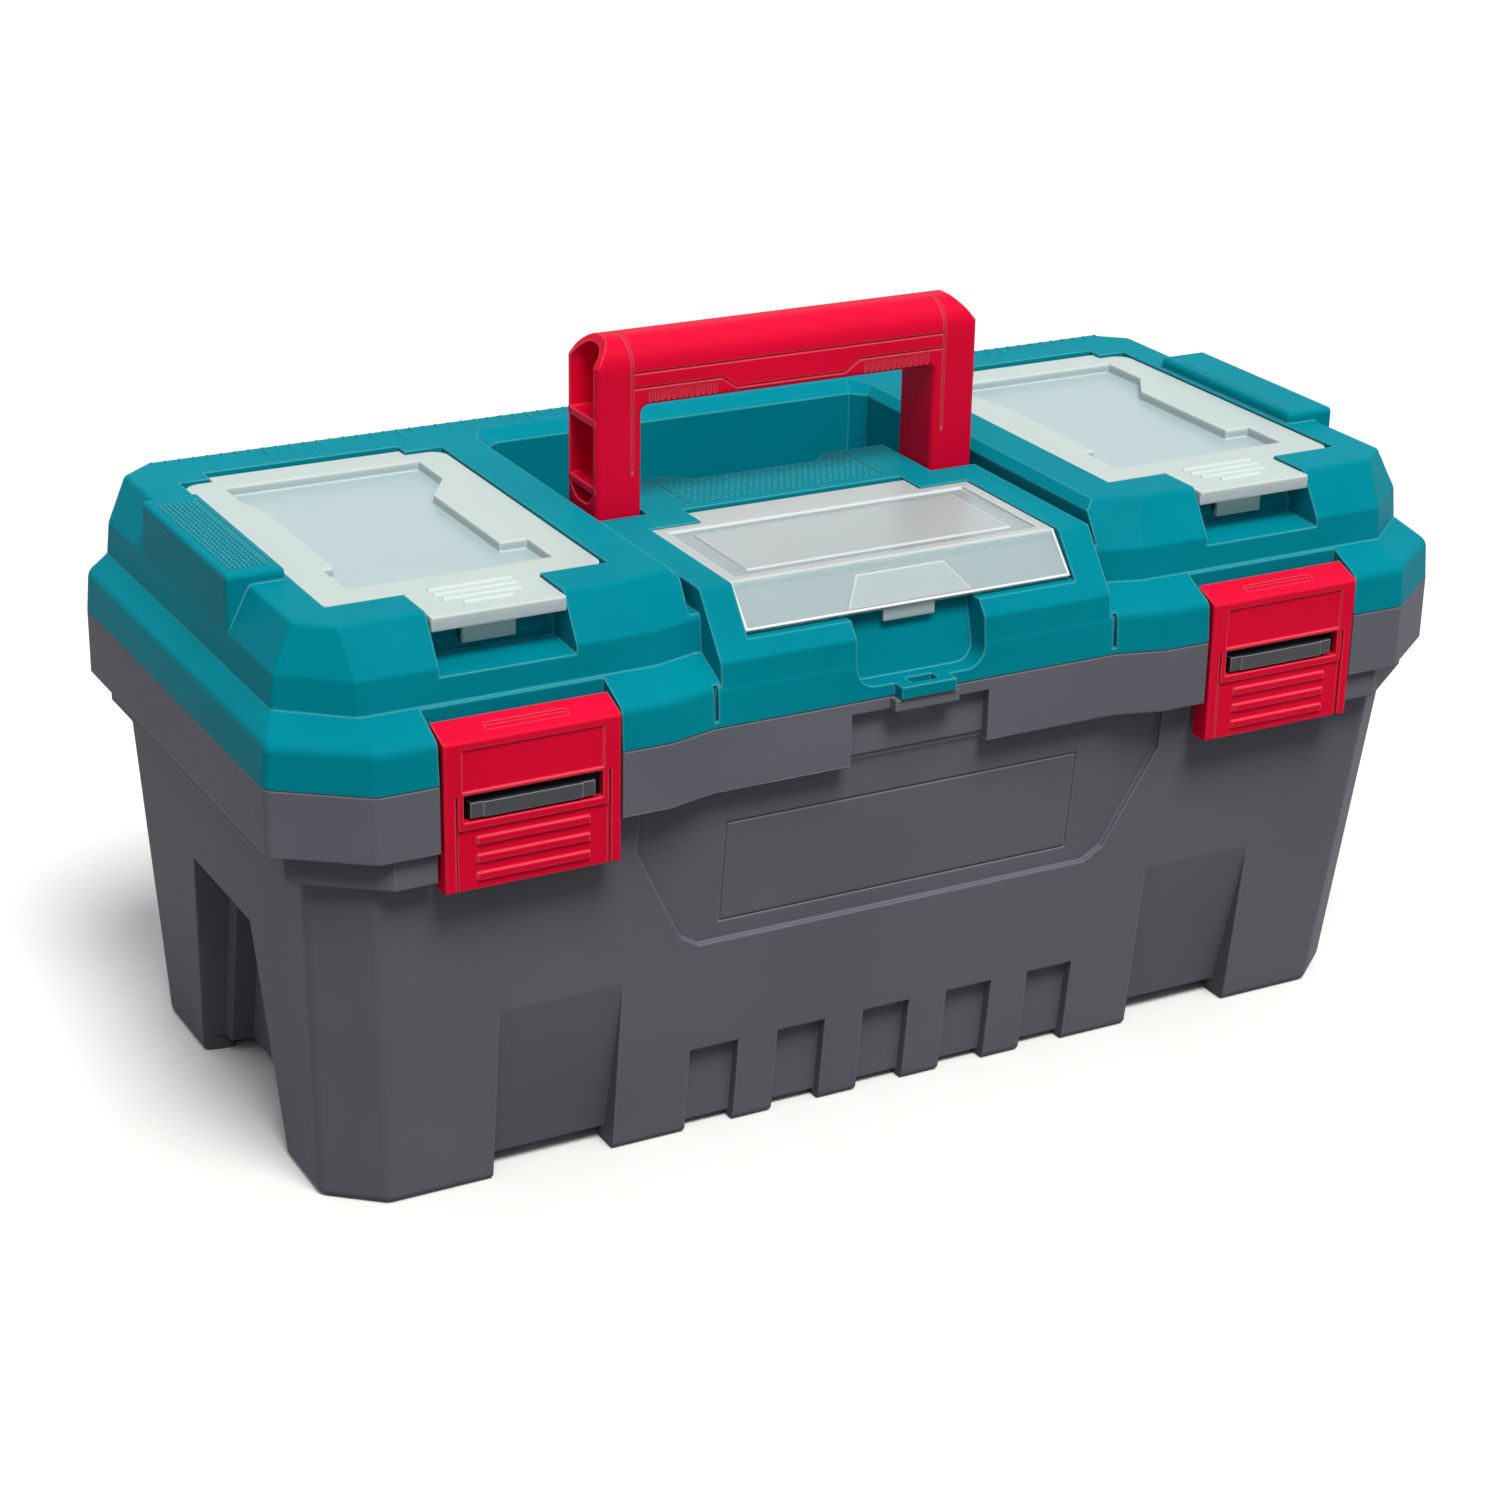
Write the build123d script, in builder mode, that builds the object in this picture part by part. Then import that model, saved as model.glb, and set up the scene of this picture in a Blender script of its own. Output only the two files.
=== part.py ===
from build123d import *
import os

os.makedirs("parts", exist_ok=True)

# A plastic tool box: tub, hinged lid with covered bins, folding handle, two latches and a lift-out tray.
# X runs along the box, Y to its back and Z up. The origin is the middle of the footprint.

# Plan of the rim, shared by the collar of the tub and the skirt of the lid
box_length = 440.0
pod_front = 108.0
front_step = 4.5
step_start = 76.0
step_run = 17.0
corner_run_x = 28.0
corner_run_y = 20.5
rim_round = 4.0

# Heights, from the floor up
seam_height = 154.0
seam_gap = 0.3
skirt_height = 14.0
ledge_rise = 6.5
tower_wall_rise = 11.0
tower_bevel_rise = 15.0

# Walls, gaps and overruns
tub_wall = 2.8
lid_wall = 2.6
fit_gap = 0.5
pin_gap = 0.05
cut_over = 6.0

# Rear hinge of the lid
knuckle_radius = 3.5
hinge_pin_radius = 1.5
hinge_stand_off = 0.5
hinge_group_x = 120.0
lid_knuckle_length = 30.0
tub_knuckle_length = 12.0
knuckle_end_gap = 0.4
gusset_drop = 10.0

# Tub body
tub_side_inset = 19.5
tub_front_inset = 23.0
tub_back_inset = 14.0
tub_side_lean = 9.0
tub_front_lean = 17.0
tub_back_lean = 9.3
tub_corner_run_x = 18.0
tub_corner_run_y = 15.0
tub_corner_round = 5.0
tub_bottom_round = 3.0
foot_height = 5.5
foot_ring = 11.0
floor_thickness = 2.8
collar_height = 22.0
band_height = 11.0
band_side_inset = 6.3
band_front_inset = 2.8

# Recesses around the foot of the tub
rib_width = 14.8
rib_recess_width = 18.4
rib_recess_top = 33.0
rib_recess_depth = 4.0
rib_recess_count = 5
rib_recess_raise = 2.6
second_foot_width = 26.8
foot_gap_width = 43.5
foot_gap_top = 65.0
foot_gap_depth = 9.0
side_recess_half = 40.0
side_recess_top_half = 25.0
side_recess_top = 79.0
side_recess_step = 8.0
side_recess_inset = 6.0
side_recess_taper = 12.0

# Stepped panel on the front of the tub, and the thin frame in it
panel_half = 100.0
panel_shoulder_height = 114.0
panel_waist_half = 82.0
panel_waist_height = 78.5
panel_foot_half = 75.0
panel_foot_height = 74.0
panel_depth = 2.0
frame_half = 67.5
frame_low = 80.5
frame_high = 118.0
frame_line = 0.8
frame_depth = 0.5

# Padlock tabs at the front centre
lock_notch_half = 26.0
lock_band_height = 4.0
lock_tab_half = 12.0
lock_tab_reach = 3.8
lid_lock_tab_half = 10.3
lid_lock_tab_reach = 4.7
lock_hole_length = 10.0
lock_hole_width = 5.0
lock_hole_set_back = 0.5

# Lid skirt, towers and their insets from the rim
skirt_draft = 1.0
tower_side_ledge = 7.5
tower_front_ledge = 15.0
tower_back_ledge = 6.0
tower_step_run = 16.0
tower_corner_run_x = 21.0
tower_corner_run_y = 17.5
tower_wall_draft = 1.0
bevel_side_run = 7.5
bevel_front_run = 9.7
bevel_back_run = 5.0
bevel_corner_run_x = 11.0
bevel_corner_run_y = 9.3
bevel_step_start = 80.0
tower_round = 1.8

# End pads on the towers
pad_inner = 192.0
pad_front = 37.0
pad_back = 44.0
pad_rise = 4.0
pad_round = 1.8
pad_line_inset = 2.4
pad_line_front = 33.5
pad_line_back = 37.5
fine_line = 0.7
fine_line_depth = 0.5

# Centre block between the towers
channel_half = 76.8
channel_bevel = 3.2
trough_back_bevel = 7.5
groove_drop = 13.5
block_half = 73.2
panel_drop = 5.5
nose_set_back = 1.8
nose_drop = 20.0
brow_set_back = 17.5
block_round = 1.6
slit_width = 1.6
slit_depth = 2.4
slit_rise = 2.0

# Handle trough behind the centre block, and the strip between the handle legs
trough_back = 72.5
trough_drop = 37.5
leg_slot_inner = 55.3
leg_slot_front = 14.0
strip_back = 19.2
strip_middle_back = 13.0
strip_middle_half = 24.5
strip_step_run = 6.0
strip_line_half = 37.5
strip_line_front = 11.0
strip_line_back = 17.5
trough_corner = 5.0

# Handle
leg_gap = 1.0
leg_side_gap = 3.6
handle_depth = 23.0
handle_pivot_back = 0.5
handle_pivot_drop = 12.0
grip_rise = 31.5
handle_rise = 54.1
handle_corner_run_x = 7.0
handle_corner_run_z = 8.0
handle_inner_round = 3.0
handle_round = 2.0
handle_top_round = 10.0
leg_wall = 2.4
leg_hollow_depth = 12.0
leg_hollow_low = 2.5
leg_rib = 2.4
leg_rib_shares = (0.09, 0.52)
grip_line = 0.8
grip_line_depth = 0.6
grip_seam_half = 60.0
grip_line_half = 59.4
grip_upper_line = 43.4
grip_lower_line = 38.2
grip_middle_line = 34.3
grip_lower_half = 26.5
grip_middle_half = 21.0
grip_rib_start = 29.0
grip_rib_pitch = 2.2
grip_rib_count = 12
grip_rib_width = 1.0
grip_rib_height = 4.0
grip_rib_lift = 1.2
grip_rib_depth = 0.4
handle_pin_radius = 3.0

# Side covers, their bins and their front tabs
cover_thickness = 2.0
cover_sink = 0.9
cover_inner = 95.5
cover_outer = 190.0
cover_front = 64.9
cover_back = 66.0
cover_seat = 3.0
cover_floor_gap = 0.3
cover_hinge_inner = 109.3
cover_hinge_outer = 179.0
cover_hinge_reach = 4.6
cover_barrel_radius = 2.2
cover_pin_radius = 1.0
cover_swing_gap = 1.4
cover_round = 6.0
bin_drop = 37.5
tab_inner = 119.0
tab_outer = 164.0
tab_reach = 20.8
tab_lip_drop = 4.6
tab_shelf = 4.0
pocket_back_reach = 10.6
pocket_brow_drop = 13.0
pocket_floor_drop = 17.0
pocket_floor_fall = 1.5
snap_half = 9.5
snap_low_drop = 14.5
snap_high_drop = 9.5
snap_thickness = 1.6
snap_bump = 1.0
window_inset = 12.0
window_front_inset = 14.0
window_back_inset = 8.0
window_bar_front = 31.5
window_bar_back = 22.0
window_bar_reach = 9.7
window_bar_slope = 15.0
window_thin_bar_reach = 4.0
window_thin_bar_back = 29.0
window_depth = 3.3
window_floor = 1.5

# Centre cover, its bin and the pocket in the front of the lid
centre_cover_half = 61.0
centre_cover_sink = 0.5
centre_cover_back = 28.5
centre_cover_fold = 83.5
centre_cover_nose = 95.2
centre_cover_nose_drop = 12.8
centre_hinge_half = 42.0
centre_hinge_reach = 10.3
centre_bin_seat = 4.0
centre_plate_half = 50.0
centre_plate_inset = 9.0
centre_plate_rise = 0.5
centre_rim = 4.0
centre_panel_depth = 0.8
pocket_half = 24.0
pocket_low_rise = 4.5
pocket_high_rise = 28.0
pocket_low_depth = 7.5
pocket_high_depth = 14.5
pocket_round = 7.0
centre_snap_half = 9.5
centre_snap_drop = 4.0

# Latches, their pins and the catch bars
latch_centre = 141.0
latch_width = 59.5
latch_gap = 1.0
latch_proud = 1.0
latch_thickness = 3.0
latch_foot_drop = 36.0
latch_brow_rise = 13.5
latch_crown_rise = 17.3
latch_crown_run = 10.5
latch_fold_share = 0.7
latch_pivot_set_back = 7.5
latch_pivot_rise = 11.2
latch_barrel_radius = 3.3
latch_pin_radius = 1.5
latch_swing_radius = 7.6
latch_rail = 4.0
latch_rail_depth = 2.0
latch_flange = 2.4
latch_flange_height = 13.0
latch_flange_depth = 5.0
latch_window_half = 23.5
latch_window_low_drop = 13.0
latch_window_high_drop = 4.0
latch_plate_half = 23.8
latch_plate_low_drop = 3.0
latch_plate_high_rise = 11.0
latch_plate_depth = 0.6
latch_groove = 0.9
latch_groove_depth = 1.0
latch_rib_half = 19.0
latch_rib_height = 2.4
latch_rib_rise = 0.8
latch_rib_pitch = 6.0
latch_rib_count = 3
latch_slot_half = 13.7
latch_slot_width = 3.0
latch_slot_depth = 1.0
latch_round = 0.8
bar_half = 21.0
bar_height = 5.0
bar_top_drop = 7.0
bar_set_back = 0.6
bar_face_half = 16.7
bar_face_rise = 0.5

# Lift-out tray
tray_gap = 2.0
tray_wall = 2.0
tray_height = 44.0
tray_draft = 4.0
tray_flange = 2.2
tray_flange_half_depth = 62.0
tray_flange_overlap = 7.0
tray_bar_height = 16.0
tray_bar_half = 70.0
tray_bar_hole_half = 48.0
tray_bar_hole_height = 22.0
tray_bar_hole_round = 9.0
tray_divider_share = 0.36

# Places that follow from the sizes above
half_length = box_length / 2
centre_front = pod_front - front_step
rim_back = pod_front + latch_proud - hinge_stand_off - knuckle_radius
hinge_y = rim_back + hinge_stand_off
lid_bottom = seam_height + seam_gap
skirt_top = seam_height + skirt_height
tower_foot = skirt_top + ledge_rise
tower_shoulder = tower_foot + tower_wall_rise
tower_top = tower_shoulder + tower_bevel_rise
tower_half = half_length - tower_side_ledge
tower_front = pod_front - tower_front_ledge
tower_back = rim_back - tower_back_ledge
shoulder_half = tower_half - tower_wall_draft
collar_bottom = seam_height - collar_height
band_bottom = collar_bottom - band_height
floor_top = foot_height + floor_thickness
trough_floor = tower_top - trough_drop
panel_top = tower_top - panel_drop
latch_inner = latch_centre - latch_width / 2
latch_outer = latch_centre + latch_width / 2
latch_front = pod_front + latch_proud
latch_back = latch_front - latch_thickness
latch_y = -latch_front + latch_pivot_set_back
latch_z = seam_height + latch_pivot_rise
lid_notch_back = latch_y + latch_swing_radius


def tub_edge(height, inset):
    """Half length, front and back of the tub body at a height."""
    climb_share = height / seam_height
    half = half_length - tub_side_inset + tub_side_lean * climb_share - inset
    front = pod_front - tub_front_inset + tub_front_lean * climb_share - inset
    back = rim_back - tub_back_inset + tub_back_lean * climb_share - inset
    return half, front, back


bay_back = tub_edge(collar_bottom, 0)[1]


def both_sides(points):
    """An outline from its right half, front to back."""
    return points + [(-x, y) for x, y in reversed(points)]


def tub_outline(height, inset):
    half, front, back = tub_edge(height, inset)
    return both_sides([
        (half - tub_corner_run_x, -front),
        (half, tub_corner_run_y - front),
        (half, back - tub_corner_run_y),
        (half - tub_corner_run_x, back),
    ])


def stepped_outline(half, front, back, step, start, run, corner_x, corner_y):
    """Outline with cut corners whose front stands back by a step in the middle."""
    return both_sides([
        (start, step - front),
        (start + run, -front),
        (half - corner_x, -front),
        (half, corner_y - front),
        (half, back - corner_y),
        (half - corner_x, back),
    ])


rim_outline = stepped_outline(
    half_length, pod_front, rim_back, front_step, step_start, step_run, corner_run_x, corner_run_y
)
tower_outline = stepped_outline(
    tower_half, tower_front, tower_back, front_step, step_start, tower_step_run,
    tower_corner_run_x, tower_corner_run_y,
)
crown_outline = stepped_outline(
    shoulder_half - bevel_side_run, tower_front - tower_wall_draft - bevel_front_run,
    tower_back - tower_wall_draft - bevel_back_run, front_step, bevel_step_start, step_run,
    bevel_corner_run_x, bevel_corner_run_y,
)


def face_at(points, plane, grow=0.0):
    """A closed outline as a face on a plane, grown or shrunk all round."""
    with BuildSketch(plane) as face:
        with BuildLine():
            Polyline(*points, close=True)
        make_face()
        if grow != 0:
            offset(amount=grow, kind=Kind.INTERSECTION)
    return face.sketch


def prism(points, low, high, grow=0.0, mode=Mode.ADD):
    """A plan outline raised from one height to another."""
    extrude(face_at(points, Plane.XY.offset(low), grow), amount=high - low, mode=mode)


def blend(sections, mode=Mode.ADD):
    """Straight blend through plan outlines, each given as points, height and growth."""
    faces = [face_at(points, Plane.XY.offset(height), grow) for points, height, grow in sections]
    loft(faces, ruled=True, mode=mode)


def bar_along_x(profile, x_from, x_to, grow=0.0, mode=Mode.ADD):
    """A side profile, given as Y and Z, run from one X to another."""
    low = min(x_from, x_to) - grow
    high = max(x_from, x_to) + grow
    extrude(face_at(profile, Plane.YZ.offset(low), grow), amount=high - low, mode=mode)


def block(x_range, y_range, z_range, mode=Mode.ADD):
    sizes = [abs(ends[1] - ends[0]) for ends in (x_range, y_range, z_range)]
    middle = [(ends[0] + ends[1]) / 2 for ends in (x_range, y_range, z_range)]
    with Locations(tuple(middle)):
        Box(*sizes, mode=mode)


def rod_along_x(radius, x_from, x_to, y, z, mode=Mode.ADD):
    with Locations(Location(((x_from + x_to) / 2, y, z), (0, 90, 0))):
        Cylinder(radius, abs(x_to - x_from), mode=mode)


# Knuckle stations of the rear hinge, as X ranges
lid_knuckle_ends = (-lid_knuckle_length / 2, lid_knuckle_length / 2)
tub_knuckle_start = lid_knuckle_length / 2 + knuckle_end_gap
tub_knuckle_end = tub_knuckle_start + tub_knuckle_length
tub_knuckle_ends = ((-tub_knuckle_end, -tub_knuckle_start), (tub_knuckle_start, tub_knuckle_end))
lid_stations = [[side * hinge_group_x + end for end in lid_knuckle_ends] for side in (-1, 1)]
tub_stations = [
    [side * hinge_group_x + end for end in ends] for side in (-1, 1) for ends in tub_knuckle_ends
]


def knuckle_clearance(stations, grow):
    """Round clearance in a rear wall for the other side's knuckles."""
    for low, high in stations:
        rod_along_x(
            knuckle_radius + knuckle_end_gap + grow, low - knuckle_end_gap - grow,
            high + knuckle_end_gap + grow, hinge_y, seam_height, mode=Mode.SUBTRACT,
        )


def knuckles(stations, rise):
    """Hinge barrels with a gusset up or down the rear wall."""
    for low, high in stations:
        rod_along_x(knuckle_radius, low, high, hinge_y, seam_height)
        gusset = [
            (rim_back, seam_height),
            (hinge_y + knuckle_radius, seam_height),
            (rim_back, seam_height + rise),
        ]
        bar_along_x(gusset, low, high)


def hinge_bores(stations):
    for low, high in stations:
        rod_along_x(
            hinge_pin_radius + pin_gap, low - knuckle_end_gap, high + knuckle_end_gap,
            hinge_y, seam_height, mode=Mode.SUBTRACT,
        )


# Cuts in the outside of the tub, each also kept clear of its hollow by the wall
tub_front_plane = Plane(
    origin=(0, -tub_edge(0, 0)[1], 0), x_dir=(1, 0, 0), z_dir=(0, -seam_height, -tub_front_lean)
)
rib_pitch = rib_width + rib_recess_width
foot_gap_start = rib_pitch * (rib_recess_count - 1) / 2 + rib_recess_width / 2 + second_foot_width


def tub_latch_bays(grow):
    for side in (-1, 1):
        block(
            (side * (latch_inner - latch_gap - grow), side * (latch_outer + latch_gap + grow)),
            (-latch_front - cut_over, grow - bay_back),
            (band_bottom - grow, seam_height + cut_over),
            mode=Mode.SUBTRACT,
        )


def tub_lock_notch(grow, top):
    block(
        (-lock_notch_half - grow, lock_notch_half + grow),
        (-latch_front - cut_over, grow - bay_back),
        (collar_bottom - fit_gap - grow, top),
        mode=Mode.SUBTRACT,
    )


def rib_recesses(grow):
    """Shallow recesses between the ribs along the front foot."""
    with BuildSketch(tub_front_plane) as recesses:
        with GridLocations(rib_pitch, 0, rib_recess_count, 1):
            Rectangle(
                rib_recess_width + 2 * grow, 2 * (rib_recess_top + grow), align=(Align.CENTER, Align.CENTER)
            )
    extrude(recesses.sketch, amount=-(rib_recess_depth + grow), mode=Mode.SUBTRACT)


def foot_gaps(grow):
    """Sloped recesses between the corner feet and the ribs."""
    front = tub_edge(0, 0)[1]
    top_front = tub_edge(foot_gap_top, 0)[1]
    wedge = [
        (-top_front - cut_over, -cut_over),
        (foot_gap_depth - front + grow, -cut_over),
        (foot_gap_depth - front + grow, 0),
        (grow - top_front, foot_gap_top + grow),
        (-top_front - cut_over, foot_gap_top + grow),
    ]
    for side in (-1, 1):
        low = side * foot_gap_start
        high = side * (foot_gap_start + foot_gap_width)
        bar_along_x(wedge, min(low, high) - grow, max(low, high) + grow, mode=Mode.SUBTRACT)


def side_recesses(grow):
    """Two-step recesses in the end walls."""
    for step_index in (1, 2):
        inset = side_recess_inset * (step_index - 1)
        outline = [
            (-side_recess_half + inset, 0),
            (side_recess_half - inset, 0),
            (side_recess_top_half - inset, side_recess_top - inset),
            (inset - side_recess_top_half, side_recess_top - inset),
        ]
        depth_x = tub_edge(0, 0)[0] - side_recess_step * step_index - grow
        reach = half_length - depth_x
        for plane in (
            Plane(origin=(depth_x, 0, 0), x_dir=(0, 1, 0), z_dir=(1, 0, 0)),
            Plane(origin=(-depth_x, 0, 0), x_dir=(0, -1, 0), z_dir=(-1, 0, 0)),
        ):
            extrude(face_at(outline, plane, grow), amount=reach, taper=-side_recess_taper, mode=Mode.SUBTRACT)


def front_panel(grow):
    """Stepped panel sunk into the front wall under the collar."""
    outline = both_sides([
        (panel_foot_half, panel_foot_height),
        (panel_waist_half, panel_waist_height),
        (panel_half, panel_shoulder_height),
        (panel_half, collar_bottom + tub_wall),
    ])
    extrude(face_at(outline, tub_front_plane, grow), amount=-(panel_depth + grow), mode=Mode.SUBTRACT)


def tub_cuts(grow):
    rib_recesses(grow)
    foot_gaps(grow)
    side_recesses(grow)
    front_panel(grow)


with BuildPart() as tub_hollow:
    blend([
        (tub_outline(floor_top, tub_wall), floor_top, 0),
        (tub_outline(seam_height + cut_over, tub_wall), seam_height + cut_over, 0),
    ])
    prism(rim_outline, collar_bottom + tub_wall, seam_height + cut_over, grow=-tub_wall)
    tub_latch_bays(tub_wall)
    tub_lock_notch(tub_wall, seam_height + cut_over)
    tub_cuts(tub_wall)
    knuckle_clearance(lid_stations, tub_wall)

with BuildPart() as tub_collar:
    prism(rim_outline, collar_bottom, seam_height)
    fillet(tub_collar.edges().filter_by(Axis.Z), rim_round)

with BuildPart() as base_tub:
    blend([(tub_outline(0, 0), 0, 0), (tub_outline(seam_height, 0), seam_height, 0)])
    fillet(base_tub.edges().group_by(Axis.Z)[1], tub_corner_round)
    fillet(base_tub.faces().sort_by(Axis.Z)[0].edges(), tub_bottom_round)
    band_half = half_length - band_side_inset
    band_front = pod_front - band_front_inset
    band_back = rim_back - band_front_inset
    band_inner_front = tub_edge(band_bottom, tub_wall)[1]
    band_outline = both_sides([
        (latch_outer + latch_gap, -band_inner_front),
        (latch_outer + latch_gap, -band_front),
        (band_half - corner_run_x, -band_front),
        (band_half, corner_run_y - band_front),
        (band_half, band_back - corner_run_y),
        (band_half - corner_run_x, band_back),
    ])
    prism(band_outline, band_bottom, collar_bottom)
    add(tub_collar.part)
    lock_front = centre_front + lock_tab_reach
    block((-lock_tab_half, lock_tab_half), (-lock_front, -bay_back),
          (seam_height - lock_band_height, seam_height))
    tub_latch_bays(0)
    tub_lock_notch(0, seam_height - lock_band_height)
    tub_cuts(0)
    prism(tub_outline(0, foot_ring), -cut_over, foot_height, mode=Mode.SUBTRACT)
    front_foot = tub_edge(0, 0)[1]
    with GridLocations(rib_pitch, 0, rib_recess_count, 1):
        with Locations((0, -front_foot, 0)):
            Box(rib_recess_width, 2 * (foot_ring + fit_gap), 2 * rib_recess_raise, mode=Mode.SUBTRACT)
    for side in (-1, 1):
        block((side * foot_gap_start, side * (foot_gap_start + foot_gap_width)),
              (-front_foot - cut_over, foot_ring + fit_gap - front_foot), (-cut_over, foot_height),
              mode=Mode.SUBTRACT)
        side_foot = side * tub_edge(0, 0)[0]
        side_inner = side_foot - side * (2 * side_recess_step + fit_gap)
        block((side_foot + side * cut_over, side_inner), (-side_recess_half, side_recess_half),
              (-cut_over, foot_height), mode=Mode.SUBTRACT)
    add(tub_hollow.part, mode=Mode.SUBTRACT)
    knuckle_clearance(lid_stations, 0)
    knuckles(tub_stations, -gusset_drop)
    hinge_bores(tub_stations)
    with Locations((0, lock_hole_set_back - centre_front, seam_height - lock_band_height / 2)):
        Box(lock_hole_length, lock_hole_width, 2 * lock_band_height, mode=Mode.SUBTRACT)
    with BuildSketch(tub_front_plane.offset(-panel_depth)) as frame_ring:
        frame_middle = (frame_low + frame_high) / 2
        with Locations((0, frame_middle)):
            Rectangle(2 * frame_half, frame_high - frame_low)
            Rectangle(2 * (frame_half - frame_line), frame_high - frame_low - 2 * frame_line,
                      mode=Mode.SUBTRACT)
    extrude(frame_ring.sketch, amount=-frame_depth, mode=Mode.SUBTRACT)
base_tub.part.label = "base_tub"
export_step(base_tub.part, "parts/base_tub.step")


# Cuts in the outside of the lid, each also kept clear of its hollow by the wall
cover_top = tower_top - cover_sink
cover_bottom = cover_top - cover_thickness
cover_pin_y = cover_back + cover_hinge_reach
cover_pin_z = cover_top - cover_barrel_radius
bin_floor = tower_top - bin_drop
pocket_back = -cover_front - pocket_back_reach
centre_cover_top = panel_top - centre_cover_sink
centre_pin_y = centre_hinge_reach - centre_cover_back
centre_pin_z = centre_cover_top - cover_barrel_radius
pocket_low = seam_height + pocket_low_rise
pocket_high = seam_height + pocket_high_rise
open_top = tower_top + cut_over


def skirt_blend(skin, low):
    """Skirt and ledge up to the foot of the towers, or the hollow under them."""
    blend([
        (rim_outline, low, -skin),
        (rim_outline, skirt_top - skin, -skirt_draft - skin),
        (tower_outline, tower_foot - skin, -skin),
    ])


def tower_blend(skin):
    blend([
        (tower_outline, tower_foot - skin, -skin),
        (tower_outline, tower_shoulder - skin, -tower_wall_draft - skin),
        (crown_outline, tower_top - skin, -skin),
    ])


def channel_outline(bevel_steps):
    """Plan of the way between the towers, widened by steps of its top bevel."""
    half = channel_half + bevel_steps * channel_bevel
    back = trough_back + bevel_steps * trough_back_bevel
    corner_y = trough_corner + bevel_steps * (trough_back_bevel - channel_bevel)
    return both_sides([(half, -pod_front - cut_over), (half, back - corner_y), (half - trough_corner, back)])


def channel(grow):
    """Way between the towers, down to the grooves beside the centre block."""
    prism(channel_outline(0), tower_top - groove_drop - grow, open_top, grow=grow, mode=Mode.SUBTRACT)


def centre_block(skin, low):
    profile = [
        (skin - centre_front, low),
        (skin + nose_set_back - centre_front, panel_top - nose_drop - skin),
        (skin + brow_set_back - centre_front, panel_top - skin),
        (strip_back, panel_top - skin),
        (strip_back, low),
    ]
    bar_along_x(profile, skin - block_half, block_half - skin)


def trough(grow):
    outline = both_sides([
        (strip_middle_half, strip_middle_back),
        (strip_middle_half + strip_step_run, strip_back),
        (leg_slot_inner, strip_back),
        (leg_slot_inner, -leg_slot_front),
        (channel_half, -leg_slot_front),
        (channel_half, trough_back - trough_corner),
        (channel_half - trough_corner, trough_back),
    ])
    prism(outline, trough_floor - grow, open_top, grow=grow, mode=Mode.SUBTRACT)


def side_bins(grow):
    """Bins in the towers, the seats of their covers and the slots of the cover hinges."""
    room = fit_gap + grow
    for side in (-1, 1):
        block((side * (cover_inner + cover_seat - grow), side * (cover_outer - cover_seat + grow)),
              (cover_seat - cover_front - grow, cover_back - cover_seat + grow),
              (bin_floor - grow, open_top), mode=Mode.SUBTRACT)
        block((side * (cover_inner - room), side * (cover_outer + room)),
              (-cover_front - room, cover_back + cover_swing_gap + grow),
              (cover_bottom - cover_floor_gap - grow, open_top), mode=Mode.SUBTRACT)
        slot_back = cover_pin_y + cover_barrel_radius + cover_swing_gap + grow
        block((side * (cover_hinge_inner - room), side * (cover_hinge_outer + room)),
              (cover_back, slot_back), (cover_bottom - cover_floor_gap - grow, open_top), mode=Mode.SUBTRACT)
        block((side * (cover_hinge_inner - room), side * (cover_hinge_outer + room)),
              (cover_pin_y - cover_barrel_radius - room, slot_back),
              (cover_pin_z - cover_barrel_radius - room, open_top), mode=Mode.SUBTRACT)


def tab_pockets(grow):
    """Pockets in the tower fronts for a finger under the cover tabs."""
    seat = cover_bottom - cover_floor_gap
    profile = [
        (-cover_front, open_top),
        (-cover_front, seat),
        (-cover_front - tab_shelf, seat),
        (pocket_back, tower_top - pocket_brow_drop),
        (pocket_back, tower_top - pocket_floor_drop),
        (-pod_front, tower_top - pocket_floor_drop - pocket_floor_fall),
        (-pod_front, open_top),
    ]
    for side in (-1, 1):
        bar_along_x(profile, side * (tab_inner - fit_gap), side * (tab_outer + fit_gap),
                    grow=grow, mode=Mode.SUBTRACT)


def lid_latch_notches(grow):
    for side in (-1, 1):
        block((side * (latch_inner - latch_gap - grow), side * (latch_outer + latch_gap + grow)),
              (-latch_front - cut_over, lid_notch_back + grow),
              (seam_height - cut_over, tower_foot + cut_over), mode=Mode.SUBTRACT)


def front_pocket(grow):
    profile = [
        (-latch_front - cut_over, pocket_low),
        (pocket_low_depth - centre_front, pocket_low),
        (pocket_high_depth - centre_front, pocket_high),
        (-latch_front - cut_over, pocket_high),
    ]
    bar_along_x(profile, -pocket_half, pocket_half, grow=grow)


def cover_line(depth):
    """Back edge, fold and nose of the centre cover, sunk under its skin by a depth."""
    fall = Vector(centre_cover_fold - centre_cover_nose, -centre_cover_nose_drop).normalized()
    fold_shift = -depth * fall.Y - depth * fall.X * (1 + fall.X) / fall.Y
    nose_y = -centre_cover_nose - depth * fall.Y
    nose_z = centre_cover_top - centre_cover_nose_drop + depth * fall.X
    return [
        (-centre_cover_back, centre_cover_top - depth),
        (fold_shift - centre_cover_fold, centre_cover_top - depth),
        (nose_y, nose_z),
    ]


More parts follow.
